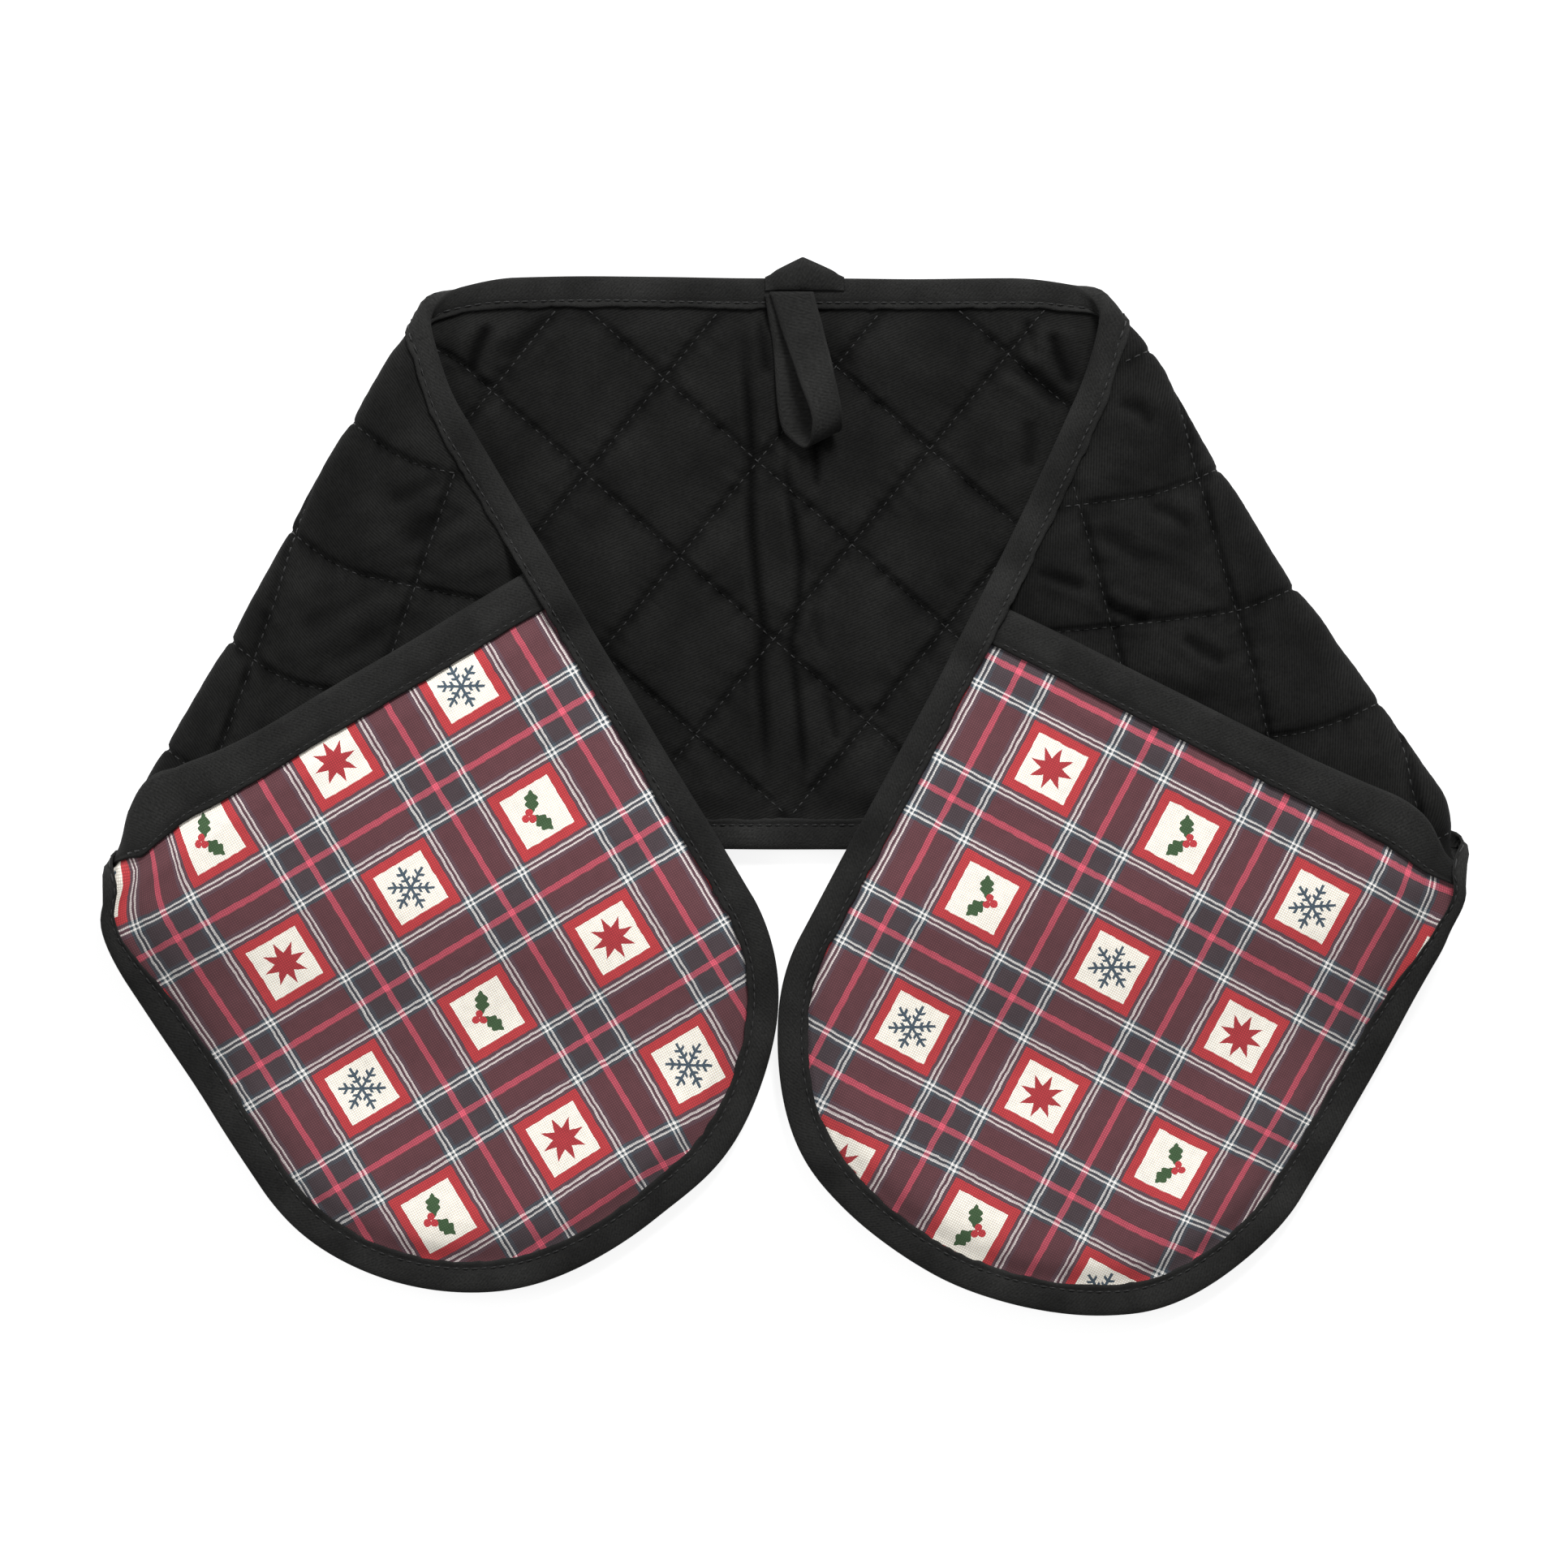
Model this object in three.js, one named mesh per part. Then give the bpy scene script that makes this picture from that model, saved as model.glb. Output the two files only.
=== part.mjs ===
import * as THREE from 'three';

// A double oven glove lying folded: one quilted strip whose two ends are folded diagonally over its middle,
// with a padded pocket on each end, one binding tape round the edge and a hanging loop.
// The strip is drawn flat first: s runs along it, t across it and h through it (inner face positive).
// A single folding map then carries every piece to the shape in which it lies. All sizes in mm.

// The strip laid flat
const halfWidth = 90;
const reach = { left: 391.8, right: 399.8 };
const endRound = 73;
const stripCentreY = 69.9;

// The two diagonal folds: where each crosses the middle of the strip, its lean from the strip in degrees,
// how far the cloth slips along the fold, and how far the arm turns inwards beyond it in degrees
const folds = [
  { side: -1, at: -152.3, lean: 60.5, slip: 16.5, turn: 0 },
  { side: 1, at: 149.2, lean: 56.6, slip: 11, turn: 5 },
];
const rollRadius = 4.5;
const slipStart = -15;
const slipLength = 50;
const turnStart = 110;
const turnLength = 140;

// Heights above the middle, where the arms lie over it, and where they drop to the table past its edge
const layerRise = 7.2;
const settleLength = 45;
const dropEdge = -34;
const dropLength = 60;
const dropSettle = 15;

// How the laid cloth was nudged on the table, each place fading out at its reach: east, north and upwards.
// The lower corners rest on the pocket corners folded under them, so they lie higher.
const nudges = [
  { x: -205, y: -20, east: 0, north: 0, up: 5.2, reach: 80 },
  { x: 211, y: -20, east: 0, north: 0, up: 5.2, reach: 80 },
  { x: -209, y: -14, east: 2.6, north: -2, up: 0, reach: 34 },
  { x: -218, y: -27, east: 1.7, north: -0.4, up: 0, reach: 36 },
  { x: -202, y: 0, east: -1.5, north: 0.9, up: 0, reach: 30 },
  { x: -212, y: -48, east: -0.8, north: 0, up: 0, reach: 30 },
  { x: -200, y: -60, east: -3, north: 0.1, up: 0, reach: 46 },
  { x: -182, y: -98, east: -1.1, north: -0.7, up: 0, reach: 46 },
  { x: -85, y: -158, east: 0.8, north: -2.1, up: 0, reach: 60 },
  { x: -12, y: -108, east: 0, north: -2.7, up: 0, reach: 40 },
  { x: 9, y: -120, east: -2.1, north: -2.8, up: 0, reach: 50 },
  { x: 45, y: -152, east: -0.9, north: -1, up: 0, reach: 46 },
  { x: 150, y: -146, east: -1.3, north: 4, up: 0, reach: 45 },
  { x: 172, y: -114, east: -1.2, north: 0.7, up: 0, reach: 46 },
  { x: 200, y: -66, east: -0.9, north: 0.5, up: 0, reach: 50 },
  { x: 215, y: -20, east: -2.6, north: -1.2, up: 0, reach: 34 },
  { x: 219, y: -17, east: -2, north: -0.4, up: 0, reach: 26 },
  { x: 206, y: -3, east: 1.6, north: 0.6, up: 0, reach: 26 },
  { x: 190, y: 22, east: 1.7, north: 1.2, up: 0, reach: 30 },
  { x: 153, y: 74, east: -1, north: -1, up: 0, reach: 30 },
  { x: 117, y: 135, east: 2.7, north: 1.2, up: 0, reach: 34 },
  { x: -58, y: 160, east: -0.1, north: 0.8, up: 0, reach: 45 },
  { x: -146, y: 98, east: -1.4, north: 0.9, up: 0, reach: 45 },
];

// Quilted cloth, measured from its middle surface
const seamHalf = 1.3;
const crownHalf = 3.3;
const puffInset = 11;
const puffWidth = 11;
const bodyInset = 1.8;

// Two families of stitch lines per face: one crossing, the angle in degrees and the spacing of each family
const quiltInner = { s: -91.7, t: 54.5, angleA: -41.4, spacingA: 38.8, angleB: 50.6, spacingB: 39.5 };
const quiltOuterLeft = { s: -181.8, t: 49, angleA: -47, spacingA: 37.5, angleB: 50.3, spacingB: 41 };
const quiltOuterRight = { s: 172, t: 15.2, angleA: -39.5, spacingA: 40, angleB: 57, spacingB: 40.3 };
const quiltSteps = 4;
const hiddenInset = 20;

// Binding tape
const tape = 0.85;
const gap = 0.5;
const bindingLip = 9.5;
const bindingInside = 0.9;
const edgeHalf = seamHalf + gap;
const middleHeight = edgeHalf + tape;

// The outer lip of the binding rolls under at the lower corners: the depths past a mouth between which
// it does so, and how much less of the tape shows there
const cornerRoll = { from: -20, rise: 15, until: 15, fall: 55, narrowing: 5 };

// Pockets: distance from the middle of the strip to the mouth. Towards its lower corner the mouth curves
// away by "most", and the foot of its tape by less, so that the tape narrows there.
const mouthAt = { left: 195.8, right: 203.6 };
const mouthCurve = {
  left: { from: -45, over: 42, most: 11, foot: 2 },
  right: { from: -55, over: 40, most: 10, foot: 2 },
};
const mouthTape = 13;
const mouthTapeInset = 2.2;
const mouthTurn = 0.5;
const seamPastTape = 0.7;
const pocketInset = 2.4;
const pocketSeam = 10;
const pocketEdge = 1.2;
const pocketPadding = 2;
const paddingWidth = 9;
const pocketLift = 7.5;
const pocketDepth = 190;
const pinchLength = 30;
const liftWidth = 16;
const mouthSeam = mouthTape + seamPastTape;
const mouthBuild = tape + gap;
const mouthPoints = [80, 68, 55, 41.5, 27.5, 13.5];

// The layers at a mouth build up before it and end past its tape, each change over the same length.
// The binding follows the build-up found a little way in from the edge.
const buildStart = -12;
const buildLength = 9;
const pastTape = 10.5;
const buildEnd = mouthTape + pastTape;
const layersInset = 5;

// Hanging loop at the top of the middle: foot, lean from straight down in degrees, tape thickness,
// and the length under the binding over which it turns into its lean
const loop = { s: 2.8, t: 85.5, lean: 14.2, thickness: 1, tucked: 12 };

// Folded end of the binding over the top edge beside the loop: a gable with a flat ridge
const bindingEnd = { from: -5.5, to: 19.5, peakAt: 6.4, peak: 6.2, ridge: 1, lip: 4, foot: 2.3, dip: 1.5 };

// Spacing of the mesh points on the edges and on the pockets, and the steps in which a fold bends
const ringStep = 12;
const fillStep = 13;
const fillHalf = 78;
const rollSteps = 8;
const onLine = 0.15;

// Distances kept between mesh points: from the edge seams, from each other, and from the mouths.
// A ring of ghost points outside a sheet keeps its edge straight.
const seamMargin = 6;
const pointMargin = 7;
const ringMargin = 5;
const lipMargin = 4;
const latticeStart = 8;
const ghostInset = -9;

const rollArc = Math.PI * rollRadius;
const radians = THREE.MathUtils.degToRad;
const clamp01 = (x) => Math.min(1, Math.max(0, x));
const smooth = (x) => clamp01(x) ** 2 * (3 - 2 * clamp01(x));
const foldOf = (s) => (s < 0 ? folds[0] : folds[1]);
const sideName = (side) => (side < 0 ? 'left' : 'right');

// Position on the flat strip relative to its fold, after the arm's turn in its own plane
function foldCoordinates(s, t) {
  const fold = foldOf(s);
  const { side } = fold;
  const past = Math.max(0, side * s - turnStart);
  const curved = Math.min(past, turnLength);
  const heading = radians(fold.turn) * curved / turnLength;
  const x = s - side * t * heading;
  const y = t + heading * (past - curved / 2);
  const cos = Math.cos(radians(fold.lean));
  const sin = Math.sin(radians(fold.lean));
  const normal = { x: side * sin, y: cos };
  const down = { x: side * cos, y: -sin };
  return {
    fold,
    normal,
    down,
    across: (x - fold.at) * normal.x + y * normal.y,
    along: (x - fold.at) * down.x + y * down.y,
  };
}

// Sine and cosine part way round a fold, straight between the lines along which every piece is cut
function rollAt(share) {
  const step = Math.min(Math.floor(share * rollSteps), rollSteps - 1);
  const part = share * rollSteps - step;
  const from = Math.PI * step / rollSteps;
  const to = Math.PI * (step + 1) / rollSteps;
  return {
    sin: THREE.MathUtils.lerp(Math.sin(from), Math.sin(to), part),
    cos: THREE.MathUtils.lerp(Math.cos(from), Math.cos(to), part),
  };
}

// The folding map: flat strip coordinates to the shape in which the cloth lies
function lay(s, t, h) {
  const { fold, normal, down, across, along } = foldCoordinates(s, t);
  const { sin, cos } = rollAt(clamp01(across / rollArc));
  const beyond = Math.max(0, across - rollArc);
  const out = Math.min(across, 0) + (rollRadius - h) * sin - beyond;
  const slid = along + fold.slip * smooth((across - slipStart) / slipLength);
  const x = fold.at + normal.x * out + down.x * slid;
  const y = stripCentreY + normal.y * out + down.y * slid;
  const settled = (2 * rollRadius - layerRise) * smooth(beyond / settleLength);
  const dropped = layerRise * smooth((dropEdge - y) / dropLength) * smooth(beyond / dropSettle);
  const rise = rollRadius - (rollRadius - h) * cos - settled - dropped;
  const laid = new THREE.Vector3(x, y, middleHeight + rise);
  nudges.forEach((nudge) => {
    const share = smooth(1 - Math.hypot(x - nudge.x, y - nudge.y) / nudge.reach);
    laid.add(new THREE.Vector3(nudge.east, nudge.north, nudge.up).multiplyScalar(share));
  });
  return laid;
}

// Distance inwards from the outline of the strip, whose ends are half ellipses
function insetOf(s, t) {
  const straight = reach[sideName(s)] - endRound;
  const x = Math.abs(s) - straight;
  let inset = halfWidth - Math.abs(t);
  if (x <= 0) return inset;
  const searchSteps = 30;
  let low = -endRound / 2;
  let high = Math.min(endRound - x, inset);
  for (let i = 0; i < searchSteps; i++) {
    inset = (low + high) / 2;
    const inside = (x / (endRound - inset)) ** 2 + (t / (halfWidth - inset)) ** 2 < 1;
    if (inside) low = inset;
    else high = inset;
  }
  return inset;
}

// Stations round the outline: straight edges first by position, rounded ends by angle
function straightStations(up, knots) {
  const ends = [-reach.left + endRound, reach.right - endRound];
  const marks = [...ends, ...knots].sort((a, b) => a - b);
  const stations = [{ s: marks[0], up }];
  marks.slice(1).forEach((mark, i) => {
    const count = Math.ceil((mark - marks[i]) / ringStep);
    for (let k = 1; k <= count; k++) stations.push({ s: marks[i] + (mark - marks[i]) * k / count, up });
  });
  return up > 0 ? stations : stations.reverse();
}

function roundStations(side) {
  const stations = [];
  const count = Math.round(Math.PI * (endRound + halfWidth) / 2 / ringStep);
  for (let i = 1; i < count; i++) {
    const angle = side > 0 ? Math.PI * i / count : Math.PI * (1 - i / count);
    stations.push({ side, angle });
  }
  return stations;
}

function place(station, inset) {
  if (station.side) {
    const centre = reach[sideName(station.side)] - endRound;
    const s = station.side * (centre + (endRound - inset) * Math.sin(station.angle));
    return [s, (halfWidth - inset) * Math.cos(station.angle)];
  }
  return [station.s, station.up * (halfWidth - inset)];
}

// How far the edge of a mouth and the foot of its tape have curved away at t
function mouthShift(side, t) {
  const { from, over, most, foot } = mouthCurve[sideName(side)];
  const share = smooth((from - t) / over);
  return { most: most * share, narrowing: (most - foot) * share };
}

// Position s at a depth past a mouth, and the depth at a position. The tape's width counts as mouthTape
// everywhere, also where it is narrower.
function pastMouth(side, depth, t) {
  const { most, narrowing } = mouthShift(side, t);
  return side * (mouthAt[sideName(side)] + most + depth - narrowing * clamp01(depth / mouthTape));
}

function depthOf(s, t) {
  const { most, narrowing } = mouthShift(s, t);
  const past = Math.abs(s) - mouthAt[sideName(s)] - most;
  return past + narrowing * clamp01(past / (mouthTape - narrowing));
}

// The build-up of layers inside the binding at the pocket mouths, as shares of the full build-up
const pocketShare = (depth) => clamp01((depth - buildStart) / buildLength);
const mouthShare = (depth) => pocketShare(depth) * clamp01((buildEnd - depth) / buildLength);
const mouthKnots = (up) => [-1, 1].flatMap((side) => (
  [buildStart, buildStart + buildLength, buildEnd - buildLength, buildEnd].map((depth) => (
    pastMouth(side, depth, up * halfWidth)
  ))
));

const outline = [
  ...straightStations(1, mouthKnots(1)),
  ...roundStations(1),
  ...straightStations(-1, mouthKnots(-1)),
  ...roundStations(-1),
];

// Triangles between points, no point inside the circle through another three
function triangulate(points) {
  const size = 4000;
  const tolerance = 1e-7;
  const all = [...points, [-size, -size], [size, -size], [0, size]];
  const circle = (a, b, c) => {
    const [ax, ay] = all[a];
    const bx = all[b][0] - ax;
    const by = all[b][1] - ay;
    const cx = all[c][0] - ax;
    const cy = all[c][1] - ay;
    const twice = 2 * (bx * cy - by * cx);
    const x = (cy * (bx * bx + by * by) - by * (cx * cx + cy * cy)) / twice;
    const y = (bx * (cx * cx + cy * cy) - cx * (bx * bx + by * by)) / twice;
    return { corners: [a, b, c], x: ax + x, y: ay + y, square: x * x + y * y };
  };
  const count = points.length;
  let triangles = [circle(count, count + 1, count + 2)];
  points.forEach(([x, y], index) => {
    const rim = new Map();
    triangles = triangles.filter((triangle) => {
      if ((x - triangle.x) ** 2 + (y - triangle.y) ** 2 > triangle.square - tolerance) return true;
      triangle.corners.forEach((corner, i) => {
        const next = triangle.corners[(i + 1) % 3];
        if (rim.has(`${next} ${corner}`)) rim.delete(`${next} ${corner}`);
        else rim.set(`${corner} ${next}`, [corner, next]);
      });
      return false;
    });
    rim.forEach(([a, b]) => triangles.push(circle(a, b, index)));
  });
  return triangles.map((triangle) => triangle.corners).filter((corners) => Math.max(...corners) < count);
}

// Triangles of a sheet whose edge is the first ring. A ghost ring outside keeps its edges straight.
function sheetTriangles(edge, inside, ghost) {
  const count = edge.length + inside.length;
  return triangulate([...edge, ...inside, ...ghost]).filter((corners) => Math.max(...corners) < count);
}

const far = ([s, t], others, distance) => (
  others.every(([otherS, otherT]) => Math.hypot(s - otherS, t - otherT) > distance)
);

// Share of a stitched cell at a point: 0 on a stitch line, 1 in the middle of a diamond, which is why
// the product of the four distances is scaled by 16
function cellPuff(quilt, s, t) {
  const a = radians(quilt.angleA);
  const b = radians(quilt.angleB);
  const acrossA = ((t - quilt.t) * Math.cos(a) - (s - quilt.s) * Math.sin(a)) / quilt.spacingA;
  const acrossB = ((t - quilt.t) * Math.cos(b) - (s - quilt.s) * Math.sin(b)) / quilt.spacingB;
  const u = acrossA - Math.floor(acrossA);
  const v = acrossB - Math.floor(acrossB);
  return Math.sqrt(16 * u * (1 - u) * v * (1 - v));
}

const quiltOuter = (s) => (s < 0 ? quiltOuterLeft : quiltOuterRight);

function clothHalf(quilt, s, t) {
  const puff = clamp01((insetOf(s, t) - puffInset) / puffWidth);
  return seamHalf + (crownHalf - seamHalf) * puff * cellPuff(quilt, s, t);
}

// Whether a folded arm lies over a point of the middle
function covered(s, t) {
  const { fold, normal, down, across } = foldCoordinates(s, t);
  const above = [s - 2 * across * normal.x, t - 2 * across * normal.y];
  return across < 0 && insetOf(above[0] - fold.slip * down.x, above[1] - fold.slip * down.y) > hiddenInset;
}

// Points on the stitch lines and inside the diamonds of one face, fewer where the face lies hidden
function quiltPoints(quilt, allow, shown) {
  const points = [];
  const a = radians(quilt.angleA);
  const b = radians(quilt.angleB);
  const stepA = quilt.spacingB / Math.sin(b - a) / quiltSteps;
  const stepB = quilt.spacingA / Math.sin(b - a) / quiltSteps;
  const most = Math.ceil(2 * reach.right / Math.min(stepA, stepB));
  for (let i = -most; i <= most; i++) {
    for (let j = -most; j <= most; j++) {
      const s = quilt.s + stepA * i * Math.cos(a) + stepB * j * Math.cos(b);
      const t = quilt.t + stepA * i * Math.sin(a) + stepB * j * Math.sin(b);
      const onStrip = s > -reach.left && s < reach.right && Math.abs(t) < halfWidth;
      const coarse = i % 2 === 0 && j % 2 === 0;
      if (onStrip && allow([s, t]) && (coarse || shown([s, t]))) points.push([s, t]);
    }
  }
  return points;
}

// A closed mesh from points [s, t, h] and triangles, turned so that its faces look outwards
function closedMesh(name, material, { points, triangles }, floor = -Infinity) {
  const laid = points.map(([s, t, h]) => lay(s, t, h));
  laid.forEach((point) => { point.z = Math.max(point.z, floor); });
  const volume = triangles.reduce((sum, [a, b, c]) => (
    sum + laid[a].dot(new THREE.Vector3().crossVectors(laid[b], laid[c]))
  ), 0);
  const faces = volume > 0 ? triangles : triangles.map(([a, b, c]) => [a, c, b]);
  const geometry = new THREE.BufferGeometry();
  geometry.setAttribute('position', new THREE.Float32BufferAttribute(laid.flatMap((p) => p.toArray()), 3));
  geometry.setIndex(faces.flat());
  geometry.computeVertexNormals();
  const mesh = new THREE.Mesh(geometry, material);
  mesh.name = name;
  return mesh;
}

// A sheet with two faces that share the edge ring's outline: faces are { fill, height }
function sheetSolid(edge, ghost, faces) {
  const points = [];
  const triangles = [];
  const starts = faces.map(({ fill, height }, side) => {
    const start = points.length;
    [...edge, ...fill].forEach(([s, t]) => points.push([s, t, height(s, t)]));
    sheetTriangles(edge, fill, ghost).forEach(([a, b, c]) => {
      triangles.push(side === 0 ? [start + a, start + b, start + c] : [start + a, start + c, start + b]);
    });
    return start;
  });
  edge.forEach((_, i) => {
    const next = (i + 1) % edge.length;
    const [top, under] = starts;
    triangles.push([top + i, under + next, under + i], [top + i, top + next, under + next]);
  });
  return { points, triangles };
}

// A strip swept through sections, each a list of [s, t, h]. An open strip gets two end caps from the
// given triangles.
function sweptSolid(sections, capTriangles) {
  const size = sections[0].length;
  const points = sections.flat();
  const triangles = [];
  const closed = !capTriangles;
  const last = sections.length - 1;
  sections.forEach((_, i) => {
    if (i === last && !closed) return;
    const here = i * size;
    const there = ((i + 1) % sections.length) * size;
    for (let k = 0; k < size; k++) {
      const next = (k + 1) % size;
      triangles.push([here + k, here + next, there + next], [here + k, there + next, there + k]);
    }
  });
  if (!closed) {
    capTriangles.forEach(([a, b, c]) => {
      triangles.push([a, c, b], [last * size + a, last * size + b, last * size + c]);
    });
  }
  return { points, triangles };
}

// Cut triangles along lines parallel to the folds, so that every piece bends round them in the same steps
function cutAlongFolds({ points, triangles }) {
  let current = triangles;
  folds.forEach((fold) => {
    for (let step = 0; step <= rollSteps; step++) {
      const level = rollArc * step / rollSteps;
      const sides = points.map(([s, t]) => {
        const side = foldOf(s) === fold ? foldCoordinates(s, t).across - level : -1;
        return Math.abs(side) < onLine ? 0 : side;
      });
      const cuts = new Map();
      const cut = (a, b) => {
        const key = `${Math.min(a, b)} ${Math.max(a, b)}`;
        if (!cuts.has(key)) {
          const share = sides[a] / (sides[a] - sides[b]);
          points.push(points[a].map((value, k) => value + (points[b][k] - value) * share));
          cuts.set(key, points.length - 1);
        }
        return cuts.get(key);
      };
      current = current.flatMap((corners) => {
        for (let k = 0; k < 3; k++) {
          const [a, b, c] = [corners[k], corners[(k + 1) % 3], corners[(k + 2) % 3]];
          if (sides[a] * sides[b] < 0 && sides[a] * sides[c] < 0) {
            const [ab, ac] = [cut(a, b), cut(a, c)];
            return [[a, ab, ac], [ab, b, c], [ab, c, ac]];
          }
          if (sides[a] === 0 && sides[b] * sides[c] < 0) {
            const bc = cut(b, c);
            return [[a, b, bc], [a, bc, c]];
          }
        }
        return [corners];
      });
    }
  });
  return { points, triangles: current };
}

const cloth = (color) => new THREE.MeshStandardMaterial({ color, roughness: 0.95, metalness: 0 });
const materials = {
  body: cloth(0x242426),
  tape: cloth(0x303032),
  print: cloth(0x8a4650),
};

// Quilted body: the inner face shows in the middle, the outer face on the arms
function quiltedBody() {
  const edge = outline.map((station) => place(station, bodyInset));
  const ghost = outline.map((station) => place(station, ghostInset));
  const lip = outline.map((station) => place(station, puffInset));
  const allow = (point) => insetOf(...point) > puffInset + seamMargin && far(point, lip, pointMargin);
  const innerShown = (point) => foldCoordinates(...point).across < rollArc && !covered(...point);
  const outerShown = (point) => foldCoordinates(...point).across > 0 && depthOf(...point) < hiddenInset;
  const inner = quiltPoints(quiltInner, allow, innerShown);
  const left = quiltPoints(quiltOuterLeft, (point) => point[0] < 0 && allow(point), outerShown);
  const allowRight = (point) => point[0] > latticeStart && allow(point);
  const right = quiltPoints(quiltOuterRight, allowRight, outerShown);
  const solid = cutAlongFolds(sheetSolid(edge, ghost, [
    { fill: [...lip, ...inner], height: (s, t) => clothHalf(quiltInner, s, t) },
    { fill: [...lip, ...left, ...right], height: (s, t) => -clothHalf(quiltOuter(s), s, t) },
  ]));
  return closedMesh('quilted_body', materials.body, solid, 0);
}

// Heights of the two faces of a pocket below the strip's outer face, growing with distance from its edge
function pocketFaces(s, t) {
  const inset = insetOf(s, t);
  const depth = depthOf(s, t);
  const build = mouthBuild * clamp01((buildEnd - depth) / buildLength);
  const over = (crownHalf - seamHalf) * clamp01((inset - pocketSeam) / puffWidth);
  const seamAt = pastMouth(Math.sign(s), mouthSeam, t);
  const pinchedAt = Math.abs(s) > Math.abs(seamAt) ? s : seamAt;
  const pinch = smooth((foldCoordinates(pinchedAt, t).across - rollArc / 2) / pinchLength);
  const arch = Math.max(0, 1 - (t / (halfWidth - pocketSeam)) ** 2) * clamp01(1 - depth / pocketDepth);
  const lift = pocketLift * arch * pinch * clamp01((inset - pocketSeam) / liftWidth);
  const near = edgeHalf + build + over + lift;
  const padded = clamp01((inset - pocketSeam) / paddingWidth) * clamp01((depth - mouthSeam) / paddingWidth);
  return { near, away: near + pocketEdge + pocketPadding * padded };
}

// Points across the strip at a mouth, closer together where the pocket rises beside the binding
function mouthRow(side, depth, inset) {
  const half = inset === undefined ? mouthPoints : [halfWidth - inset, ...mouthPoints];
  const row = [...half, 0, ...half.map((t) => -t).reverse()];
  return row.map((t) => [pastMouth(side, depth, t), t]);
}

function pocket(side) {
  const round = outline.filter((station) => {
    const [s, t] = place(station, pocketInset);
    return side * s > 0 && depthOf(s, t) > ringMargin;
  });
  const start = round.findIndex((station, i) => {
    const before = round[(i + round.length - 1) % round.length];
    return station.up && before.up && before.up !== station.up;
  });
  const ordered = [...round.slice(start), ...round.slice(0, start)];
  const mouthEdge = mouthRow(side, bodyInset, pocketInset);
  const ring = ordered.map((station) => place(station, pocketInset));
  const forward = ring[0][1] > 0 ? [...mouthEdge].reverse() : mouthEdge;
  const edge = [...ring, ...forward];
  const ghost = [
    ...ordered.map((station) => place(station, ghostInset)),
    ...mouthRow(side, ghostInset, pocketInset + ghostInset),
  ];
  const lip = [];
  ordered.forEach((station) => {
    const point = place(station, pocketSeam);
    if (depthOf(...point) > mouthTape + lipMargin) lip.push(point);
  });
  const seam = [...mouthRow(side, mouthTape / 2), ...mouthRow(side, mouthSeam)];
  const fill = [...lip, ...seam];
  for (let depth = buildEnd; depth < pocketDepth; depth += fillStep) {
    for (let t = -fillHalf; t <= fillHalf; t += fillStep) {
      const point = [pastMouth(side, depth, t), t];
      const inside = insetOf(...point) > pocketSeam + seamMargin;
      if (inside && far(point, [...lip, ...seam], pointMargin)) fill.push(point);
    }
  }
  const solid = cutAlongFolds(sheetSolid(edge, ghost, [
    { fill, height: (s, t) => -pocketFaces(s, t).near },
    { fill, height: (s, t) => -pocketFaces(s, t).away },
  ]));
  return closedMesh(`pocket_${sideName(side)}`, materials.print, solid);
}

// Tape folded over the mouth of a pocket
function mouthBinding(side) {
  const at = (depth, t, h) => [pastMouth(side, depth, t), t, h];
  const ts = mouthRow(side, 0, mouthTapeInset).map(([, t]) => t);
  const sections = ts.map((t) => {
    const height = (depth) => pocketFaces(pastMouth(side, Math.max(bodyInset, depth), t), t);
    const lip = height(mouthTape);
    const mid = height(mouthTape / 2);
    const edge = height(0);
    return [
      at(mouthTape, t, -(lip.near - gap - tape)),
      at(mouthTape / 2, t, -(mid.near - gap - tape)),
      at(mouthTurn, t, -(edge.near - gap - tape)),
      at(0, t, -(edge.near - gap)),
      at(0, t, -(edge.away + gap)),
      at(mouthTurn, t, -(edge.away + gap + tape)),
      at(mouthTape / 2, t, -(mid.away + gap + tape)),
      at(mouthTape, t, -(lip.away + gap + tape)),
      at(mouthTape, t, -(lip.away + gap)),
      at(mouthTape / 2, t, -(mid.away + gap)),
      at(tape, t, -(edge.away + gap)),
      at(tape, t, -(edge.near - gap)),
      at(mouthTape / 2, t, -(mid.near - gap)),
      at(mouthTape, t, -(lip.near - gap)),
    ];
  });
  const caps = [
    [0, 1, 12], [0, 12, 13], [1, 2, 11], [1, 11, 12], [2, 3, 11], [3, 4, 11],
    [4, 10, 11], [4, 5, 10], [5, 6, 9], [5, 9, 10], [6, 7, 8], [6, 8, 9],
  ];
  const solid = cutAlongFolds(sweptSolid(sections, caps));
  return closedMesh(`mouth_binding_${sideName(side)}`, materials.tape, solid);
}

// Inset of the binding's outer lip
function outerLip(depth, t) {
  const { from, rise, until, fall, narrowing } = cornerRoll;
  const rolled = smooth((depth - from) / rise) * (1 - smooth((depth - until) / fall));
  return t < 0 ? bindingLip - narrowing * rolled : bindingLip;
}

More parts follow.
